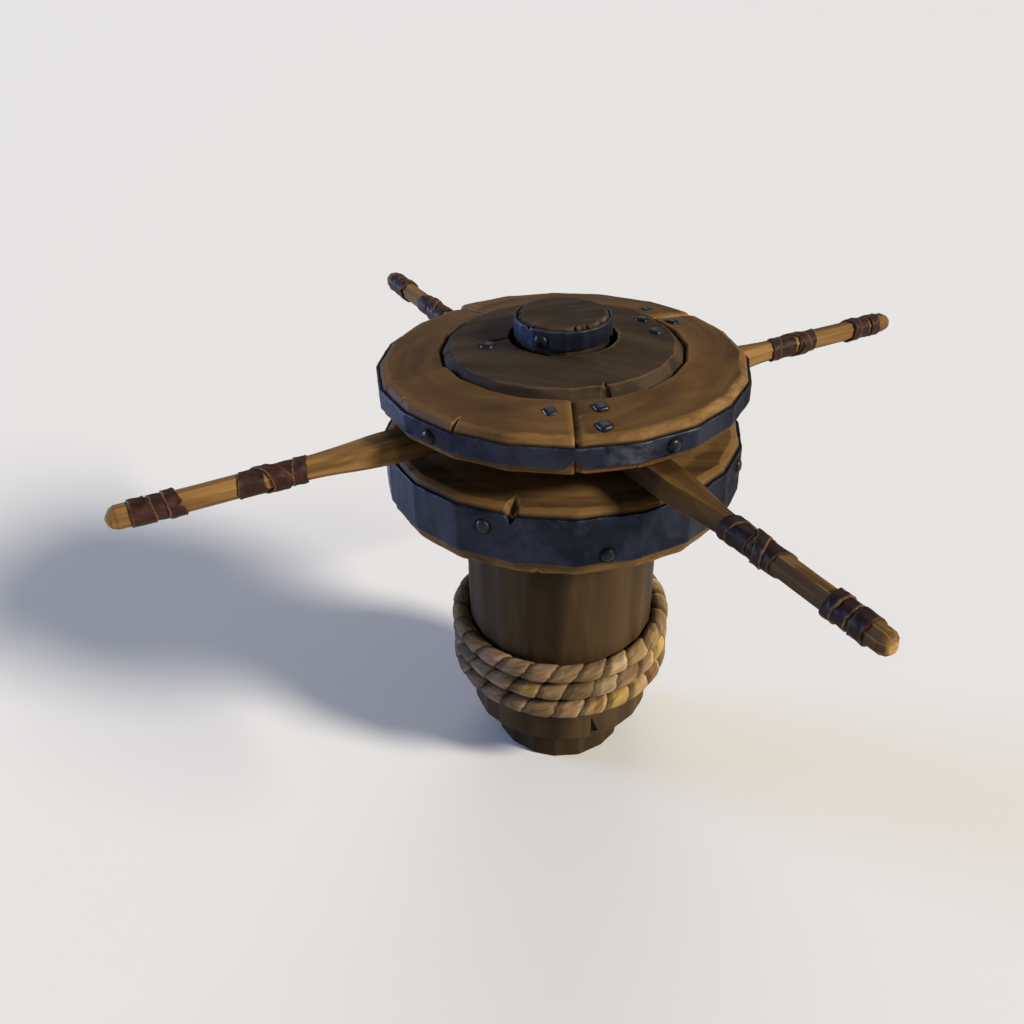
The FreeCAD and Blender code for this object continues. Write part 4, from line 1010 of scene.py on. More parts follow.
# cap block and its hoop
cap_corners = [
    (0.002, CAP_BOT, 0.0), (0.112, CAP_BOT, 0.003), (0.1165, CAP_BOT + 0.006, 0.0), (0.1168, HP1 - 0.012, 0.0), (0.1155, CAP_TOP - 0.009, 0.003),
    (0.1075, CAP_TOP, 0.004), (0.002, CAP_TOP - 0.001, 0.0),
]
CAP_NICKS = ((-105.5, 0.0055, 0.0065), (-96.0, 0.0085, 0.0050), (-88.5, 0.0065, 0.0075), (-64.0, 0.008, 0.004), (20.0, 0.010, 0.007),
             (150.0, 0.010, 0.007), (-160.0, 0.007, 0.005))


def cap_shape(F, r, z, nr, nz, G):
    off = rim_wander(F, 33, 0.0010, 6.0) * smooth(z, 1.31, 1.325) * smooth(r, 0.08, 0.105)
    d = (nr * off, nz * off)
    for az, half, dep in CAP_NICKS:
        d = add2(d, nick(F, r, z, G, az, half, dep, 0.1115, CAP_TOP - 0.0045))
    return d


ob, F, r, z = lathe("cap_top", cap_corners, CAPF, 0.0, 360.0, step=0.0036, base=1.4,
                    feats=[(az, half / 0.112 / D2R + 1.0, 0.7) for az, half, dep in CAP_NICKS],
                    shape=cap_shape, rough=0.0003, seed=50, hew=0.0010)
V = coords(ob)
V[:, 2] = np.minimum(V[:, 2], 1.3298)
ob.data.vertices.foreach_set("co", V.astype(np.float32).ravel())
ob.data.update()
attribute(ob, "grain", flat_grain(V, -15.0) * np.array([1.6, 1.6, 1.0]) + np.array([0.4, 0.2, 0.0]))
attribute(ob, "tone", np.full(len(V), 0.50))
edge_marks(ob, 0.004, 0.010, 2.2)
rr = np.hypot(V[:, 0], V[:, 1])
for mark in ("wear_and_highlight", "hollow_shade", "painted_highlight"):
    vals = np.zeros(len(V), np.float32)
    ob.data.attributes[mark].data.foreach_get("value", vals)
    attribute(ob, mark, vals * smooth(rr, 0.085, 0.100))
# painted highlight along the cap's edge above the hoop, strongest on the lit side
painted_lip_highlight = smooth(rr, 0.1020, 0.1065) * (V[:, 2] > HP1 + 0.001)
attribute(ob, "wear_and_highlight", np.maximum(stored(ob, "wear_and_highlight"), painted_lip_highlight * (0.08 + 0.26 * side_of(np.degrees(np.arctan2(V[:, 1], V[:, 0])), -60.0, 45.0))))
# painted shade behind the hoop's top and below the hoop
attribute(ob, "painted_shade", np.maximum(0.85 * (1 - smooth(V[:, 2], HP1 - 0.002, HP1 + 0.001)) * smooth(V[:, 2], HP0, HP1 - 0.004),
                                 0.8 * (1 - smooth(V[:, 2], HP0 - 0.030, HP0))))
settle(ob, "base", INNER_WOOD, ["cap_block"])


def hoop_shape(F, r, z, nr, nz, G):
    off = rim_wander(F, 34, 0.0007, 6.0) * np.where(nr > 0.5, 1, 0)
    t = np.mod(F + 166.0 + 180.0, 360.0) - 180.0
    arc = np.abs(t) * D2R * r
    dz = -0.010 * np.clip(1 - arc / 0.0075, 0, 1) * np.clip((z - HP1 + 0.014) / 0.014, 0, 1)
    dz = dz + rim_wander(F, 35, 0.0010, 5.0)
    return nr * off, dz


hc = [(0.1163, HP0, 0.001), (HPR, HP0, 0.0018), (HPR, HP1, 0.0018), (0.1163, HP1, 0.0010)]
ob, F, r, z = lathe("cap_hoop_ring", hc, CAPF, 0.0, 360.0, step=0.0034, base=1.4, feats=[(-166, 5, 0.6)], shape=hoop_shape,
                    rough=0.0003, seed=51, hew=0.0008)
V = coords(ob)
attribute(ob, "grain", V)
edge_marks(ob, 0.0028, 0.009, 1.8)
# painted shade on the hoop's faces that stand back from its outer face
edge_r = HPR * CAPF.gain(F) - 0.0024
attribute(ob, "painted_shade", 0.75 * smooth(edge_r - np.hypot(V[:, 0], V[:, 1]), 0.0, 0.0016))
settle(ob, "base", IRON, ["cap_hoop"])

# ------------------------------------------------------------- lower disc
low_corners = [
    (0.062, LOW_BOT, 0.0), (0.4465, LOW_BOT, 0.009), (0.4565, LOW_BOT + 0.012, 0.005), (0.4590, LB0 + 0.004, 0.0), (0.4595, LB1 - 0.004, 0.0),
    (0.4580, LB1 + 0.0040, 0.003), (0.4530, LB1 + 0.0105, 0.005), (0.4390, LOW_TOP - 0.0010, 0.012), (0.30, LOW_TOP + 0.001, 0.0), (0.062, LOW_TOP, 0.0),
]
LOW_NICKS = ((-80.0, 0.009, 0.006), (15.0, 0.014, 0.010), (110.0, 0.012, 0.008), (-60.0, 0.007, 0.005), (75.0, 0.010, 0.007))
LOW_UNDER = ((-128.0, 0.014, 0.006), (-70.0, 0.010, 0.005), (150.0, 0.014, 0.008), (40.0, 0.014, 0.007), (-20.0, 0.010, 0.005))


def low_shape(F, r, z, nr, nz, G):
    top = smooth(z, 0.985, 1.010)
    bot = smooth(-z, -0.885, -0.870)
    off = rim_wander(F, 43, 0.0018, 9.0) * smooth(r, 0.43, 0.455) * (top + bot)
    d = (nr * off, nz * off)
    t = np.mod(F + 135.3 + 180.0, 360.0) - 180.0
    arc = t * D2R * r
    w = 0.0050 + 0.0135 * smooth(r, 0.405, 0.450)
    deep = 0.003 + 0.031 * smooth(r, 0.405, 0.455)
    inside = np.clip(1 - np.abs(arc + 0.10 * (0.458 - r)) / w, 0, 1)
    d = add2(d, (-0.018 * inside * smooth(r, 0.445, 0.458) * smooth(z, 0.955, 0.99), -deep * inside * smooth(r, 0.402, 0.408) * smooth(z, 0.96, 1.0)))
    for az, half, dep in LOW_NICKS:
        d = add2(d, nick(F, r, z, G, az, half, dep, 0.4535, 1.0240))
    for az, half, dep in LOW_UNDER:
        d = add2(d, nick(F, r, z, G, az, half, dep, 0.4530, LOW_BOT + 0.005, 0.7, -0.7))
    return d


low_feats = [(-135.3, 3.0, 0.2)]
for az, half, dep in LOW_NICKS + LOW_UNDER:
    low_feats.append((az, half / 0.455 / D2R + 0.5, 0.3))
ob, F, r, z = lathe("lower_disc_plank", low_corners, LOWF, 0.0, 360.0, step=0.0055, base=0.62,
                    feats=low_feats, shape=low_shape, rough=0.0005, seed=60, hew=0.0014)
V = coords(ob)
attribute(ob, "grain", flat_grain(V, -31.0) + np.array([0.9, 0.1, 0.3]))
# painted light: the wood is made paler under the drumhead, where it lies in shade
painted_fill_light = 1 - smooth(np.hypot(V[:, 0], V[:, 1]), 0.345, 0.410)
painted_fill_light = painted_fill_light * (V[:, 2] > 1.0)
attribute(ob, "tone", 0.5 + 0.5 * painted_fill_light)
edge_marks(ob, 0.0050, 0.013)
painted_rim(ob, F, LOWF, 0.4340, 0.0090, 0.0060, 95, 1.004)
# the same area also gets the painted highlight
vals = np.zeros(len(V), np.float32)
ob.data.attributes["painted_highlight"].data.foreach_get("value", vals)
attribute(ob, "painted_highlight", np.maximum(vals, 0.9 * painted_fill_light))
rr = np.hypot(V[:, 0], V[:, 1])
# painted shade on the wood next to the hoop's edges, except at the split
gap_top = (1 - smooth(V[:, 2], LB1 + 0.001, LB1 + 0.0100)) * smooth(V[:, 2], LB1 - 0.03, LB1 - 0.012)
gap_low = (1 - smooth(-V[:, 2], -LB0 - 0.001, -LB0 + 0.006)) * smooth(-V[:, 2], -LB0 - 0.03, -LB0 - 0.012)
t = np.abs(np.mod(F + 135.3 + 180.0, 360.0) - 180.0) * D2R * rr
attribute(ob, "painted_shade", 0.85 * np.maximum(gap_top * smooth(t, 0.010, 0.018), gap_low) * smooth(rr, 0.446, 0.453))
for mark, keep in (("hollow_shade", 0.12), ("wear_and_highlight", 1.0)):
    vals = np.zeros(len(V), np.float32)
    ob.data.attributes[mark].data.foreach_get("value", vals)
    attribute(ob, mark, vals * (1 - (1 - keep) * (1 - smooth(t, 0.018, 0.026)) * smooth(rr, 0.38, 0.41)))
settle(ob, "drum", LOWER_WOOD, ["lower_disc"])


def lower_band_shape(F, r, z, nr, nz, G):
    t = np.mod(F + 135.3 + 180.0, 360.0) - 180.0
    arc = np.abs(t) * D2R * r
    dz = -0.022 * np.clip(1 - arc / 0.0145, 0, 1) * np.clip((z - LB1 + 0.04) / 0.04, 0, 1)
    dz = dz + rim_wander(F, 46, 0.0018, 8.0) * np.clip((z - LB1 + 0.03) / 0.03, 0, 1) + rim_wander(F, 47, 0.0018, 8.0) * np.clip((LB0 + 0.03 - z) / 0.03, 0, 1)
    off = rim_wander(F, 48, 0.0010, 12.0) * np.where(nr > 0.5, 1, 0)
    return nr * off, nz * off + dz


ob = band("lower_hoop", LBR, LB0, LB1, 0.0085, LOWF, lower_band_shape, [(-135.3, 2.6, 0.2)] + [(az, 3.2, 0.45) for az, lev in LOWER_RIVETS], 6, LOWER_RIVETS)
settle(ob, "drum", IRON, ["lower_band"])

# ------------------------------------------------------------ barrel, foot
barrel_corners = [
    (0.062, 0.190, 0.0), (0.150, 0.190, 0.0), (0.150, BAR_BOT, 0.0), (0.262, BAR_BOT, 0.006), (0.267, BAR_TOP, 0.0), (0.062, BAR_TOP, 0.0),
]


def split_cut(F, r, z):
    """How far inside the triangular split at the barrel's foot a point lies."""
    t = np.mod(F + 100.2 + 180.0, 360.0) - 180.0
    arc = t * D2R * r
    low = np.clip((0.213 - z) / (0.213 - BAR_BOT), 0, 1)
    left = -0.004 * low
    right = 0.030 * low ** 1.15
    return np.minimum(arc - left, right - arc)


def barrel_shape(F, r, z, nr, nz, G):
    inside = smooth(split_cut(F, r, z), -0.0006, 0.0016)
    off = -0.012 * inside * np.where(nr > 0.3, 1, smooth(r, 0.225, 0.25)) * smooth(z, 0.10, 0.12)
    # faint plank joints down the barrel
    k = np.abs(np.mod(F - BARF.va[0] + 9.0, 18.0) - 9.0) * D2R * r
    off = off - 0.0003 * np.exp(-(k / 0.0040) ** 2) * np.where(nr > 0.5, 1, 0)
    return nr * off, nz * off


def drift(F, seed, amount):
    return amount * noise(np.stack([F / 9.0, np.zeros(len(F)), np.zeros(len(F))], 1), seed)


ob, F, r, z = lathe("barrel_staves", barrel_corners, BARF, -301.0, 59.0, step=0.006, base=1.1, feats=[(-98.0, 5.6, 0.26)],
                    shape=barrel_shape, rough=0.0006, seed=70, hew=0.0016)
V = coords(ob)
attribute(ob, "grain", round_grain(V))
tones = np.random.default_rng(77).uniform(0.25, 0.75, 40)
# painted light and shade: boards are lighter on the lit side of the barrel and darker opposite, with a random tone per
# board
painted_side_light = 0.42 + 0.46 * np.cos((F + 34.0) * D2R) + 0.16 * np.exp(-((F + 185.0) / 22.0) ** 2)
attribute(ob, "tone", np.clip(painted_side_light + 0.14 * (tones[BARF.facet(F)] - 0.5) + drift(F, 71, 0.12), 0, 1))
edge_marks(ob, 0.0050, 0.012, 1.0)
# painted shade in the split and along the barrel's bottom edge
cut = smooth(split_cut(F, np.full(len(F), 0.262), z), 0.0005, 0.0030) * (z < 0.214)
under = 0.9 * (1 - smooth(z, BAR_BOT + 0.0005, BAR_BOT + 0.0045)) * (r > 0.20)
attribute(ob, "painted_shade", np.clip(0.72 * cut + under, 0, 1))
settle(ob, "drum", BARREL_WOOD, ["barrel"])

foot_corners = [
    (0.052, 0.0, 0.0), (FOOT_R, 0.0, 0.005), (FOOT_R, FOOT_TOP, 0.005), (0.052, FOOT_TOP, 0.0),
]
ob, F, r, z = lathe("foot_plank", foot_corners, FOOTF, -301.0, 59.0, step=0.006, base=1.5, rough=0.0006, seed=80, hew=0.0014)
V = coords(ob)
V[:, 2] = np.maximum(V[:, 2], 0.0)
ob.data.vertices.foreach_set("co", V.astype(np.float32).ravel())
ob.data.update()
attribute(ob, "grain", round_grain(V, 59.0, 0.188) + np.array([0.3, 0.7, 0.0]))
# painted light and shade: the foot is lighter on the lit side and darker opposite, with a random tone per board
attribute(ob, "tone", 0.10 + 0.25 * np.cos((F + 34.0) * D2R) + np.random.default_rng(78).uniform(0.0, 0.25, 40)[FOOTF.facet(F)])
edge_marks(ob, 0.0050, 0.012, 2.4)
rr = np.hypot(V[:, 0], V[:, 1])
# painted shade along the top of the foot, under the barrel
attribute(ob, "painted_shade", 0.8 * smooth(z, FOOT_TOP - 0.010, FOOT_TOP - 0.002))
settle(ob, "base", BARREL_WOOD, ["foot_block"])


# --------------------------------------------------------- rivets and nails
def dome(radius, rise, sides, seed, squash=1.0):
    """A hammered rivet head: a dome with soft flats and a thin foot."""
    rr = np.random.default_rng(seed)
    prof = [(0.0, 1.0), (0.22, 0.985), (0.45, 0.92), (0.66, 0.79), (0.82, 0.60), (0.93, 0.38), (0.985, 0.18), (1.0, 0.04), (1.0, -0.5)]
    m = 40
    th = np.linspace(0, 2 * math.pi, m, endpoint=False)
    ph = rr.uniform(0, 6.28)
    flat = 1 + 0.016 * np.cos(sides * th + ph)
    V = [np.array([0, 0, rise])]
    for s, h in prof[1:]:
        wob = 1 + 0.02 * np.sin(2 * th + ph)
        ring = np.stack([radius * s * flat * wob * np.cos(th), radius * s * flat * wob * np.sin(th) * squash,
                         np.full(m, rise * h) + 0.0004 * np.cos(2 * th + ph) * s * (h > 0)], 1)
        V.append(ring)
    V = np.concatenate([V[0][None]] + V[1:])
    F4, F3 = [], []
    for i in range(m):
        F3.append((0, 1 + i, 1 + (i + 1) % m))
    for k in range(len(prof) - 2):
        a, b = 1 + k * m, 1 + (k + 1) * m
        for i in range(m):
            F4.append((a + i, b + i, b + (i + 1) % m, a + (i + 1) % m))
    cap = [1 + (len(prof) - 2) * m + i for i in range(m)][::-1]
    return V, np.array(F4), np.array(F3), [cap]


def square_head(side, rise, seed):
    """A forged square nail head: pillowed, with worn corners."""
    rr = np.random.default_rng(seed)
    prof = [(0.0, 1.0), (0.25, 0.99), (0.45, 0.965), (0.62, 0.90), (0.76, 0.78), (0.88, 0.58), (0.96, 0.36), (1.0, 0.14), (1.0, -0.5)]
    m = 48
    th = np.linspace(0, 2 * math.pi, m, endpoint=False)
    c, s = np.cos(th), np.sin(th)
    p = 3.6
    sq = 1.0 / (np.abs(c) ** p + np.abs(s) ** p) ** (1 / p)
    sx, sy = rr.uniform(0.93, 1.07, 2)
    V = [np.array([[0, 0, rise]])]
    for q, h in prof[1:]:
        shape = 1 + (sq - 1) * min(1.0, 0.3 + q)
        V.append(np.stack([side * q * shape * c * sx, side * q * shape * s * sy, np.full(m, rise * h)], 1))
    V = np.concatenate(V)
    V[:, 2] += 0.0006 * np.sin(V[:, 0] * 200 + seed) * (V[:, 2] > 0)
    F4, F3 = [], []
    for i in range(m):
        F3.append((0, 1 + i, 1 + (i + 1) % m))
    for k in range(len(prof) - 2):
        a, b = 1 + k * m, 1 + (k + 1) * m
        for i in range(m):
            F4.append((a + i, b + i, b + (i + 1) % m, a + (i + 1) % m))
    cap = [1 + (len(prof) - 2) * m + i for i in range(m)][::-1]
    return V, np.array(F4), np.array(F3), [cap]


def scatter(name, items):
    """Joins several heads, each with its own 4x4 placement, as one piece."""
    Vs, Q, T3, N = [], [], [], []
    off = 0
    for (V, F4, F3, caps), M in items:
        M = np.array(M)
        Vs.append(V @ M[:3, :3].T + M[:3, 3])
        Q.append(F4 + off)
        T3.append(F3 + off)
        N += [np.array(c) + off for c in caps]
        off += len(V)
    ob = mesh_object(name, np.concatenate(Vs), np.concatenate(Q), np.concatenate(T3), N)
    attribute(ob, "grain", coords(ob))
    attribute(ob, "tone", np.full(off, 0.5))
    edge_marks(ob, 0.0022, 0.004, 1.4)
    attribute(ob, "painted_shade", np.zeros(off))
    return ob


def outward(radius, az, level, spin=0.0):
    a = az * D2R
    out = Vector((math.cos(a), math.sin(a), 0))
    up_ = Vector((0, 0, 1))
    side = up_.cross(out)
    M = Matrix((
        (side.x, up_.x, out.x, out.x * radius),
        (side.y, up_.y, out.y, out.y * radius),
        (side.z, up_.z, out.z, level),
        (0, 0, 0, 1),
    ))
    return M @ Matrix.Rotation(spin, 4, "Z")


items = []
for i, (az, lev) in enumerate(LOWER_RIVETS):
    R = LBR * float(LOWF.gain(np.array([az]))[0]) - 0.001
    items.append((dome(0.0180, 0.0105, 7, i), outward(R, az, lev, i * 0.7)))
settle(scatter("lower_rivet_heads", items), "drum", NAIL_IRON, ["lower_band_rivets"])
items = []
for i, (az, lev) in enumerate(UPPER_RIVETS):
    R = UBR * float(UP.gain(np.array([az]))[0]) - 0.001
    items.append((dome(0.0180, 0.0110, 6, 20 + i), outward(R, az, lev, i * 0.9)))
settle(scatter("upper_rivet_heads", items), "drum", NAIL_IRON, ["upper_band_rivets"])
items = []
for i, az in enumerate((-147.0, -8.0, 102.0)):
    R = HPR * float(CAPF.gain(np.array([az]))[0]) - 0.001
    items.append((dome(0.0175, 0.0105, 6, 40 + i), outward(R, az, 1.297, i)))
settle(scatter("cap_rivet_heads", items), "base", NAIL_IRON, ["cap_rivets"])

RING_NAILS = ((0.361, -125.2, 31), (0.349, -106.5, 12), (0.420, -108.0, 20), (0.358, 19.0, 60), (0.341, 0.5, 25))
INNER_NAILS = ((0.194, 166.9, 40), (0.249, 1.8, 25), (0.242, -19.2, 50))
items = []
for i, (rad, az, spin) in enumerate(RING_NAILS + INNER_NAILS):
    ring = i < len(RING_NAILS)
    slope = 0.020 / 0.130 if ring else 0.0177 / 0.147
    level = 1.2400 - (rad - 0.310) * slope if ring else 1.2712 - (rad - 0.139) * slope
    g = float(UP.gain(np.array([az]))[0])
    a = az * D2R
    lean = math.atan(slope)
    M = (Matrix.Translation((rad * math.cos(a), rad * math.sin(a), level - 0.0012))
         @ Matrix.Rotation(a, 4, "Z") @ Matrix.Rotation(lean, 4, "Y") @ Matrix.Rotation(spin * D2R, 4, "Z"))
    items.append((square_head(0.0172, 0.0095, 60 + i), M))
settle(scatter("nail_heads", items), "drum", NAIL_IRON, ["drumhead_nails"])


# -------------------------------------------------------------------- bars
def bar_section(x):
    """Half width, half height and corner chamfer of a bar at a distance along it."""
    t = smooth(np.asarray(x, float), 0.468, 0.700)
    hw = 0.045 + (0.0262 - 0.045) * t
    hh = 0.030 + (0.0262 - 0.030) * t
    ch = 0.012 + (0.0150 - 0.012) * t
    return hw, hh, ch


def bar_radius(th, x, soft=0.0012, wobble=0.0, seed=0):
    hw, hh, ch = bar_section(x)
    c, s = np.abs(np.cos(th)), np.abs(np.sin(th))
    dg = (hw + hh - ch) / math.sqrt(2)
    planes = [c / hw, s / hh, (c + s) / math.sqrt(2) / dg]
    inv = np.stack(planes)
    k = 1.0 / soft
    r = 1.0 / np.maximum(inv, 1e-6)
    m = r.min(0)
    return m - soft * np.log(np.exp(-(r - m) / soft).sum(0)) * 0.8


def bar_mesh(tag, az, seed):
    xs = [BAR_IN, BAR_IN + 0.0008, BAR_IN + 0.002, BAR_IN + 0.004]
    xs += list(np.arange(BAR_IN + 0.010, 1.112, 0.006))
    tip = BAR_OUT
    xs += [1.1150, 1.1190, 1.1220, 1.1235, 1.1245, 1.1265, 1.1295, 1.1345, 1.1380, 1.1385, 1.1390, 1.1425, 1.1465]
    xs = np.array(xs)
    m = 56
    # columns gather at the eight corners
    th0 = []
    for k in range(8):
        a = math.pi / 8 + k * math.pi / 4
        th0 += [a - 0.10, a - 0.045, a - 0.015, a + 0.015, a + 0.045, a + 0.10, a + 0.26, a + 0.52]
    th = np.sort(np.mod(np.array(th0), 2 * math.pi))
    m = len(th)
    X = np.repeat(xs[:, None], m, 1)
    TH = np.repeat(th[None, :], len(xs), 0)
    hw, hh, ch = bar_section(X)
    # true corner angles move as the section changes from oblong to regular
    corner = np.arctan2(hh - ch, hw)
    c2 = np.arctan2(hh, hw - ch)
    q = np.mod(TH, math.pi / 2)
    quad = np.floor(TH / (math.pi / 2))
    odd = (quad % 2) == 1
    q_ = np.where(odd, math.pi / 2 - q, q)
    a1, a2 = math.pi / 8, 3 * math.pi / 8
    warped = np.where(q_ < a1, q_ / a1 * corner, np.where(q_ < a2, corner + (q_ - a1) / (a2 - a1) * (c2 - corner),
                      c2 + (q_ - a2) / (math.pi / 2 - a2) * (math.pi / 2 - c2)))
    q_w = np.where(odd, math.pi / 2 - warped, warped)
    TW = quad * math.pi / 2 + q_w
    r = bar_radius(TW, X, 0.0004)
    # tip: a bevel ring and a low faceted end
    rr = np.random.default_rng(seed)
    shrink = np.ones_like(xs)
    end0 = 1.1240
    t = np.clip((xs - end0) / (tip - end0), 0, 1)
    shrink = np.interp(xs, [0, end0, 1.1385, 1.1465], [1.0, 1.0, 0.80, 0.50])
    root = np.clip((BAR_IN + 0.004 - xs) / 0.004, 0, 1)
    shrink = shrink * (1 - 0.07 * root)
    r = r * shrink[:, None]
    tilt = 0.003 * (1 + np.cos(TH - 1.1)) * t[:, None]
    P = np.stack([X - tilt * (X > end0), r * np.cos(TW), r * np.sin(TW)], -1).reshape(-1, 3)
    nrm = np.stack([np.zeros_like(X), np.cos(TW), np.sin(TW)], -1).reshape(-1, 3)
    Q = P * np.array([4.0, 22.0, 22.0]) + seed
    calm = 1 - 0.85 * smooth(P[:, 0], 1.118, 1.128)
    P = P + nrm * ((0.0011 * fbm(Q, 2, seed) + 0.0003 * fbm(P * np.array([12, 90, 90]), 2, seed + 3)) * calm)[:, None]
    # a gentle crook, as a cut sapling has
    bend = 0.0016 * np.sin(P[:, 0] * 7.0 + seed)
    P[:, 2] += bend * smooth(P[:, 0], 0.5, 0.8) * smooth(-P[:, 0], -1.12, -0.9)
    n = len(xs)
    idx = np.arange(n * m).reshape(n, m)
    nx = np.roll(idx, -1, 1)
    quads = np.stack([idx[:-1].ravel(), idx[1:].ravel(), nx[1:].ravel(), nx[:-1].ravel()], 1)[:, ::-1]
    root_cap = idx[0][::-1]
    centre = np.array([[tip - 0.0004, 0.0035, 0.0060]])
    P = np.concatenate([P, centre])
    ci = len(P) - 1
    tris = np.stack([idx[-1], nx[-1], np.full(m, ci)], 1)
    return P, quads, tris, [root_cap]


SIDES = (("right", 0.0), ("back", 90.0), ("left", 180.0), ("front", 270.0))


def placed(P, az):
    a = az * D2R
    R = np.array([[math.cos(a), -math.sin(a), 0], [math.sin(a), math.cos(a), 0], [0, 0, 1]])
    return P @ R.T + np.array([0, 0, BAR_Z])


BAR_SEED = 91
# per-bar tone; the front bar's low tone is painted shade
BAR_TONE_AND_SHADE = (0.80, 0.45, 0.80, 0.20)
for k, (tag, az) in enumerate(SIDES):
    P, quads, tris, caps = bar_mesh(tag, az, BAR_SEED)
    ob = mesh_object("bar_pole_" + tag, placed(P, az), quads, tris, caps)
    attribute(ob, "grain", P + np.array([k * 1.7, 0.3 * k, 0.1]))
    tone = BAR_TONE_AND_SHADE[k] + 0.25 * smooth(P[:, 0], 1.1285, 1.132)
    # painted shade on the front bar's handle
    if tag == "front":
        tone = tone - 0.16 * smooth(P[:, 0], 0.62, 0.74)
    # painted light and shade: each of the eight faces gets its own lighter or darker tone
    theta = np.degrees(np.arctan2(P[:, 2], P[:, 1]))
    face = np.floor((theta + 22.5) / 45.0).astype(int) % 8
    tone = tone + np.array((0.02, 0.14, -0.16, 0.06, -0.08, 0.05, -0.05, -0.08))[face]
    attribute(ob, "tone", tone)
    edge_marks(ob, 0.0035, 0.009)
    # painted highlights along the arrises on the outer part
    off_arris = np.abs(np.mod(theta, 45.0) - 22.5)
    vals = np.zeros(len(P), np.float32)
    ob.data.attributes["painted_highlight"].data.foreach_get("value", vals)
    broken = 0.5 + 0.5 * noise(np.stack([P[:, 0] * 14.0, theta / 45.0, np.full(len(P), k * 1.0)], 1), 61)
    arris = 0.30 * np.exp(-(off_arris / 3.6) ** 2) * smooth(broken, 0.2, 0.6) * (P[:, 0] > 0.70)
    attribute(ob, "painted_highlight", np.maximum(vals, arris))
    # painted shade on the bar's root inside the drumhead
    attribute(ob, "painted_shade", 0.55 * (1 - smooth(P[:, 0], 0.47, 0.50)))
    flat_tip = np.ones(len(ob.data.polygons), dtype=bool)
    centres = np.zeros(len(ob.data.polygons) * 3, np.float32)
    ob.data.polygons.foreach_get("center", centres)
    flat_tip[np.hypot(centres[0::3], centres[1::3]) > 1.1242] = False
    ob.data.polygons.foreach_set("use_smooth", flat_tip)
    ob.data.update()
    settle(ob, "bar_" + tag, BAR_WOOD, ["bar_" + tag])

# Leather grips: cut strips pulled round the handle, each with its own slant,
# some lying over their neighbours and some parted so that the wood shows.
def wave(mean, swing, phase):
    return lambda th: mean + swing * np.cos(th - phase * D2R)


def start_notch(th):
    d = np.mod(th - 0.22 + math.pi, 2 * math.pi) - math.pi
    return 0.9860 + 0.0090 * np.cos(th - 2.18) + 0.012 * np.exp(-(d / 0.17) ** 2)


# (inner edge, outer edge, lift over the wood, thickness, shade, how rubbed each edge is)
INNER_BANDS = (
    (wave(0.7120, 0.0080, 50), wave(0.7700, 0.0035, 90), 0.0002, 0.0036, 0.45, 0.0, 0.55),
    (wave(0.7880, 0.0120, 20), wave(0.8540, 0.0110, 0), 0.0004, 0.0038, 0.50, 0.25, 0.45),
    (wave(0.6910, 0.0100, 0), wave(0.7260, 0.0130, 0), 0.0018, 0.0040, 0.60, 0.0, 0.75),
    (wave(0.7650, -0.0310, -10), wave(0.8040, -0.0200, -10), 0.0034, 0.0042, 0.65, 0.70, 0.95),
)
OUTER_BANDS = (
    (wave(1.0110, 0.0050, 90), wave(1.0510, 0.0050, 120), 0.0002, 0.0036, 0.45, 0.0, 0.85),
    (wave(1.0530, -0.0095, -30), wave(1.0965, 0.0020, 20), 0.0010, 0.0042, 0.60, 0.35, 0.45),
    (start_notch, wave(1.0200, 0.0040, 90), 0.0026, 0.0042, 0.55, 0.30, 0.80),
)
EDGE_STEPS = np.array([0.0, 0.0005, 0.0014, 0.0028, 0.0042, 0.0056])
EDGE_RISE = np.array([0.30, 0.74, 1.02, 1.10, 1.06, 1.00])


def band_mesh(inner, outer, lift, thick, seed, e_in, e_out):
    m = 96
    th = np.linspace(0, 2 * math.pi, m, endpoint=False)
    rr = np.random.default_rng(seed)
    jig = [rr.uniform(0, 6.28) for _ in range(6)]
    a = inner(th) + 0.0008 * np.sin(5 * th + jig[0]) + 0.0005 * np.sin(11 * th + jig[1])
    b = outer(th) + 0.0008 * np.sin(4 * th + jig[2]) + 0.0005 * np.sin(9 * th + jig[3])
    mids = np.linspace(0, 1, 8)[1:-1]
    rows = [(a + d, h, e_in if d < 0.0030 else 0.0) for d, h in zip(EDGE_STEPS, EDGE_RISE)]
    lo_, hi_ = a + EDGE_STEPS[-1], b - EDGE_STEPS[-1]
    rows += [(lo_ + (hi_ - lo_) * t, 1.0, 0.0) for t in mids]
    rows += [(b - d, h, e_out if d < 0.0045 else 0.0) for d, h in zip(EDGE_STEPS[::-1], EDGE_RISE[::-1])]
    V, edge = [], []
    for i, (x, h, e) in enumerate(rows):
        pull = 0.0006 * np.sin(3 * th + jig[4] + i * 0.5) + 0.0004 * np.sin(8 * th + jig[5] - i * 0.8)
        rho = bar_radius(th, x, 0.0032) + lift + thick * h + pull * min(h, 1.0)
        V.append(np.stack([x, rho * np.cos(th), rho * np.sin(th)], 1))
        edge.append(np.full(m, e))
    for t in (0.985, 0.5, 0.015):
        x = a + (b - a) * t
        rho = bar_radius(th, x, 0.0032) - 0.0010 + lift * 0.5
        V.append(np.stack([x, rho * np.cos(th), rho * np.sin(th)], 1))
        edge.append(np.full(m, 0.0))
    V = np.stack(V)
    ns = V.shape[0]
    idx = np.arange(ns * m).reshape(ns, m)
    nx = np.roll(idx, -1, 1)
    dn = np.roll(idx, -1, 0)
    dnx = np.roll(nx, -1, 0)
    quads = np.stack([idx.ravel(), dn.ravel(), dnx.ravel(), nx.ravel()], 1)
    return V.reshape(-1, 3), quads[:, ::-1], np.concatenate(edge)


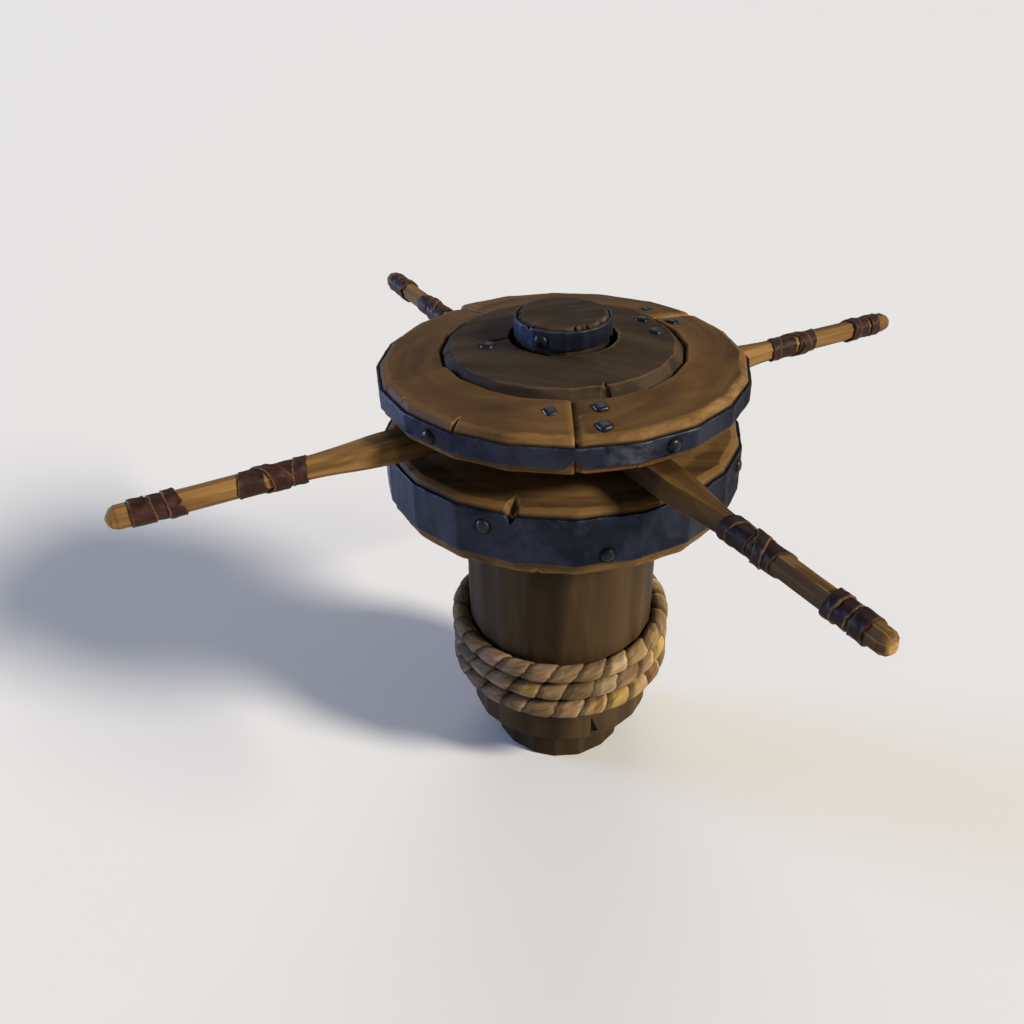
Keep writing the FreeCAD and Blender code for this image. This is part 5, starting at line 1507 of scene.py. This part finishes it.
GRIP_PAINTED_SHADE = (0.0, 0.05, 0.0, 0.42)    # painted shade: the front bar's grips are darkened
for k, (tag, az) in enumerate(SIDES):
    for kind, bands in (("inner", INNER_BANDS), ("outer", OUTER_BANDS)):
        Vs, Q, R_, T_, off = [], [], [], [], 0
        for j, (inner, outer, lift, thick, shade, e_in, e_out) in enumerate(bands):
            V, q, edge = band_mesh(inner, outer, lift, thick, 200 + j + (20 if kind == "outer" else 0), e_in, e_out)
            Vs.append(V)
            Q.append(q + off)
            R_.append(edge)
            T_.append(np.full(len(V), shade - GRIP_PAINTED_SHADE[k]))
            off += len(V)
        V = np.concatenate(Vs)
        ob = mesh_object("grip_bands_%s_%s" % (kind, tag), placed(V, az), np.concatenate(Q))
        attribute(ob, "grain", V + np.array([0, 0, k * 0.9]))
        attribute(ob, "edge", np.concatenate(R_))
        attribute(ob, "tone", np.concatenate(T_))
        attribute(ob, "painted_shade", np.zeros(len(V)))
        edge_marks(ob, 0.0022, 0.006)
        settle(ob, "bar_" + tag, LEATHER, ["grip_%s_%s" % (kind, tag)])


# -------------------------------------------------- carried-over CAD pieces
def simple(name, maker):
    t = Tree(name)
    pos = t.add("ShaderNodeTexCoord").outputs["Object"]
    maker(t, pos)
    return t.mat


def hidden_wood(t, pos):
    n = t.noise(t.mapped(pos, (9, 9, 60)), 1.0, 4, 0.6, 0.4)
    t.link(t.ramp(n, [(0.3, (0.030, 0.019, 0.010)), (0.7, (0.085, 0.052, 0.024))]), t.bsdf.inputs["Base Color"])
    t.bsdf.inputs["Roughness"].default_value = 0.75
    t.link(t.bump(n, 0.4, 0.002), t.bsdf.inputs["Normal"])


def hidden_iron(t, pos):
    n = t.noise(pos, 40.0, 4, 0.6)
    t.link(t.ramp(n, [(0.3, (0.02, 0.021, 0.026)), (0.7, (0.06, 0.063, 0.075))]), t.bsdf.inputs["Base Color"])
    t.bsdf.inputs["Metallic"].default_value = 0.6
    t.link(t.ramp(n, [(0.3, 0.4), (0.7, 0.6)]), t.bsdf.inputs["Roughness"])
    t.link(t.bump(n, 0.3, 0.001), t.bsdf.inputs["Normal"])


def hidden_bronze(t, pos):
    n = t.noise(pos, 60.0, 4, 0.6)
    t.link(t.ramp(n, [(0.3, (0.14, 0.08, 0.03)), (0.7, (0.30, 0.18, 0.07))]), t.bsdf.inputs["Base Color"])
    t.bsdf.inputs["Metallic"].default_value = 0.9
    t.link(t.ramp(n, [(0.3, 0.3), (0.7, 0.5)]), t.bsdf.inputs["Roughness"])
    t.link(t.bump(n, 0.2, 0.001), t.bsdf.inputs["Normal"])


HW, HI, HB = simple("inner_oak", hidden_wood), simple("inner_iron", hidden_iron), simple("bearing_bronze", hidden_bronze)
for names, mat in ((("socket_hub", "drumhead_base"), HW), (("bed_plate", "bed_bolts", "spindle", "retaining_collar", "linchpin", "tie_bolts"), HI),
                   (("thrust_washer", "lower_bush", "upper_bush"), HB)):
    for n in names:
        NODES[n].data.materials.clear()
        NODES[n].data.materials.append(mat)

# ------------------------------------------------------------ floor, light
floor_me = bpy.data.meshes.new("floor")
floor_me.from_pydata([(-60, -60, 0), (60, -60, 0), (60, 60, 0), (-60, 60, 0)], [], [(0, 1, 2, 3)])
floor = bpy.data.objects.new("floor", floor_me)
bpy.context.scene.collection.objects.link(floor)
floor.location.z = -0.0006
ft = Tree("floor_paper")
ft.bsdf.inputs["Base Color"].default_value = (0.72, 0.72, 0.72, 1)
ft.bsdf.inputs["Roughness"].default_value = 0.9
floor_me.materials.append(ft.mat)

world = bpy.data.worlds.new("studio")
bpy.context.scene.world = world
world.use_nodes = True
bg = world.node_tree.nodes["Background"]
bg.inputs[0].default_value = (0.92, 0.95, 1.0, 1)
bg.inputs[1].default_value = 0.20


def lamp(name, az, elev, strength, spread, colour):
    """A broad, distant soft light shining from an azimuth and elevation."""
    data = bpy.data.lights.new(name, "SUN")
    data.energy = strength
    data.angle = spread * D2R
    data.color = colour
    ob = bpy.data.objects.new(name, data)
    a, e = az * D2R, elev * D2R
    ray = Vector((math.cos(a) * math.cos(e), math.sin(a) * math.cos(e), math.sin(e)))
    ob.location = ray * 6
    ob.rotation_mode = "QUATERNION"
    ob.rotation_quaternion = (-ray).to_track_quat("-Z", "Y")
    bpy.context.scene.collection.objects.link(ob)


lamp("key", -52, 30, 4.6, 12, (1.0, 0.92, 0.78))
lamp("side", -226, 3, 6.4, 26, (0.34, 0.50, 1.0))
lamp("behind", 60, 45, 0.6, 40, (1.0, 0.97, 0.92))
bpy.context.scene.view_settings.view_transform = "Standard"
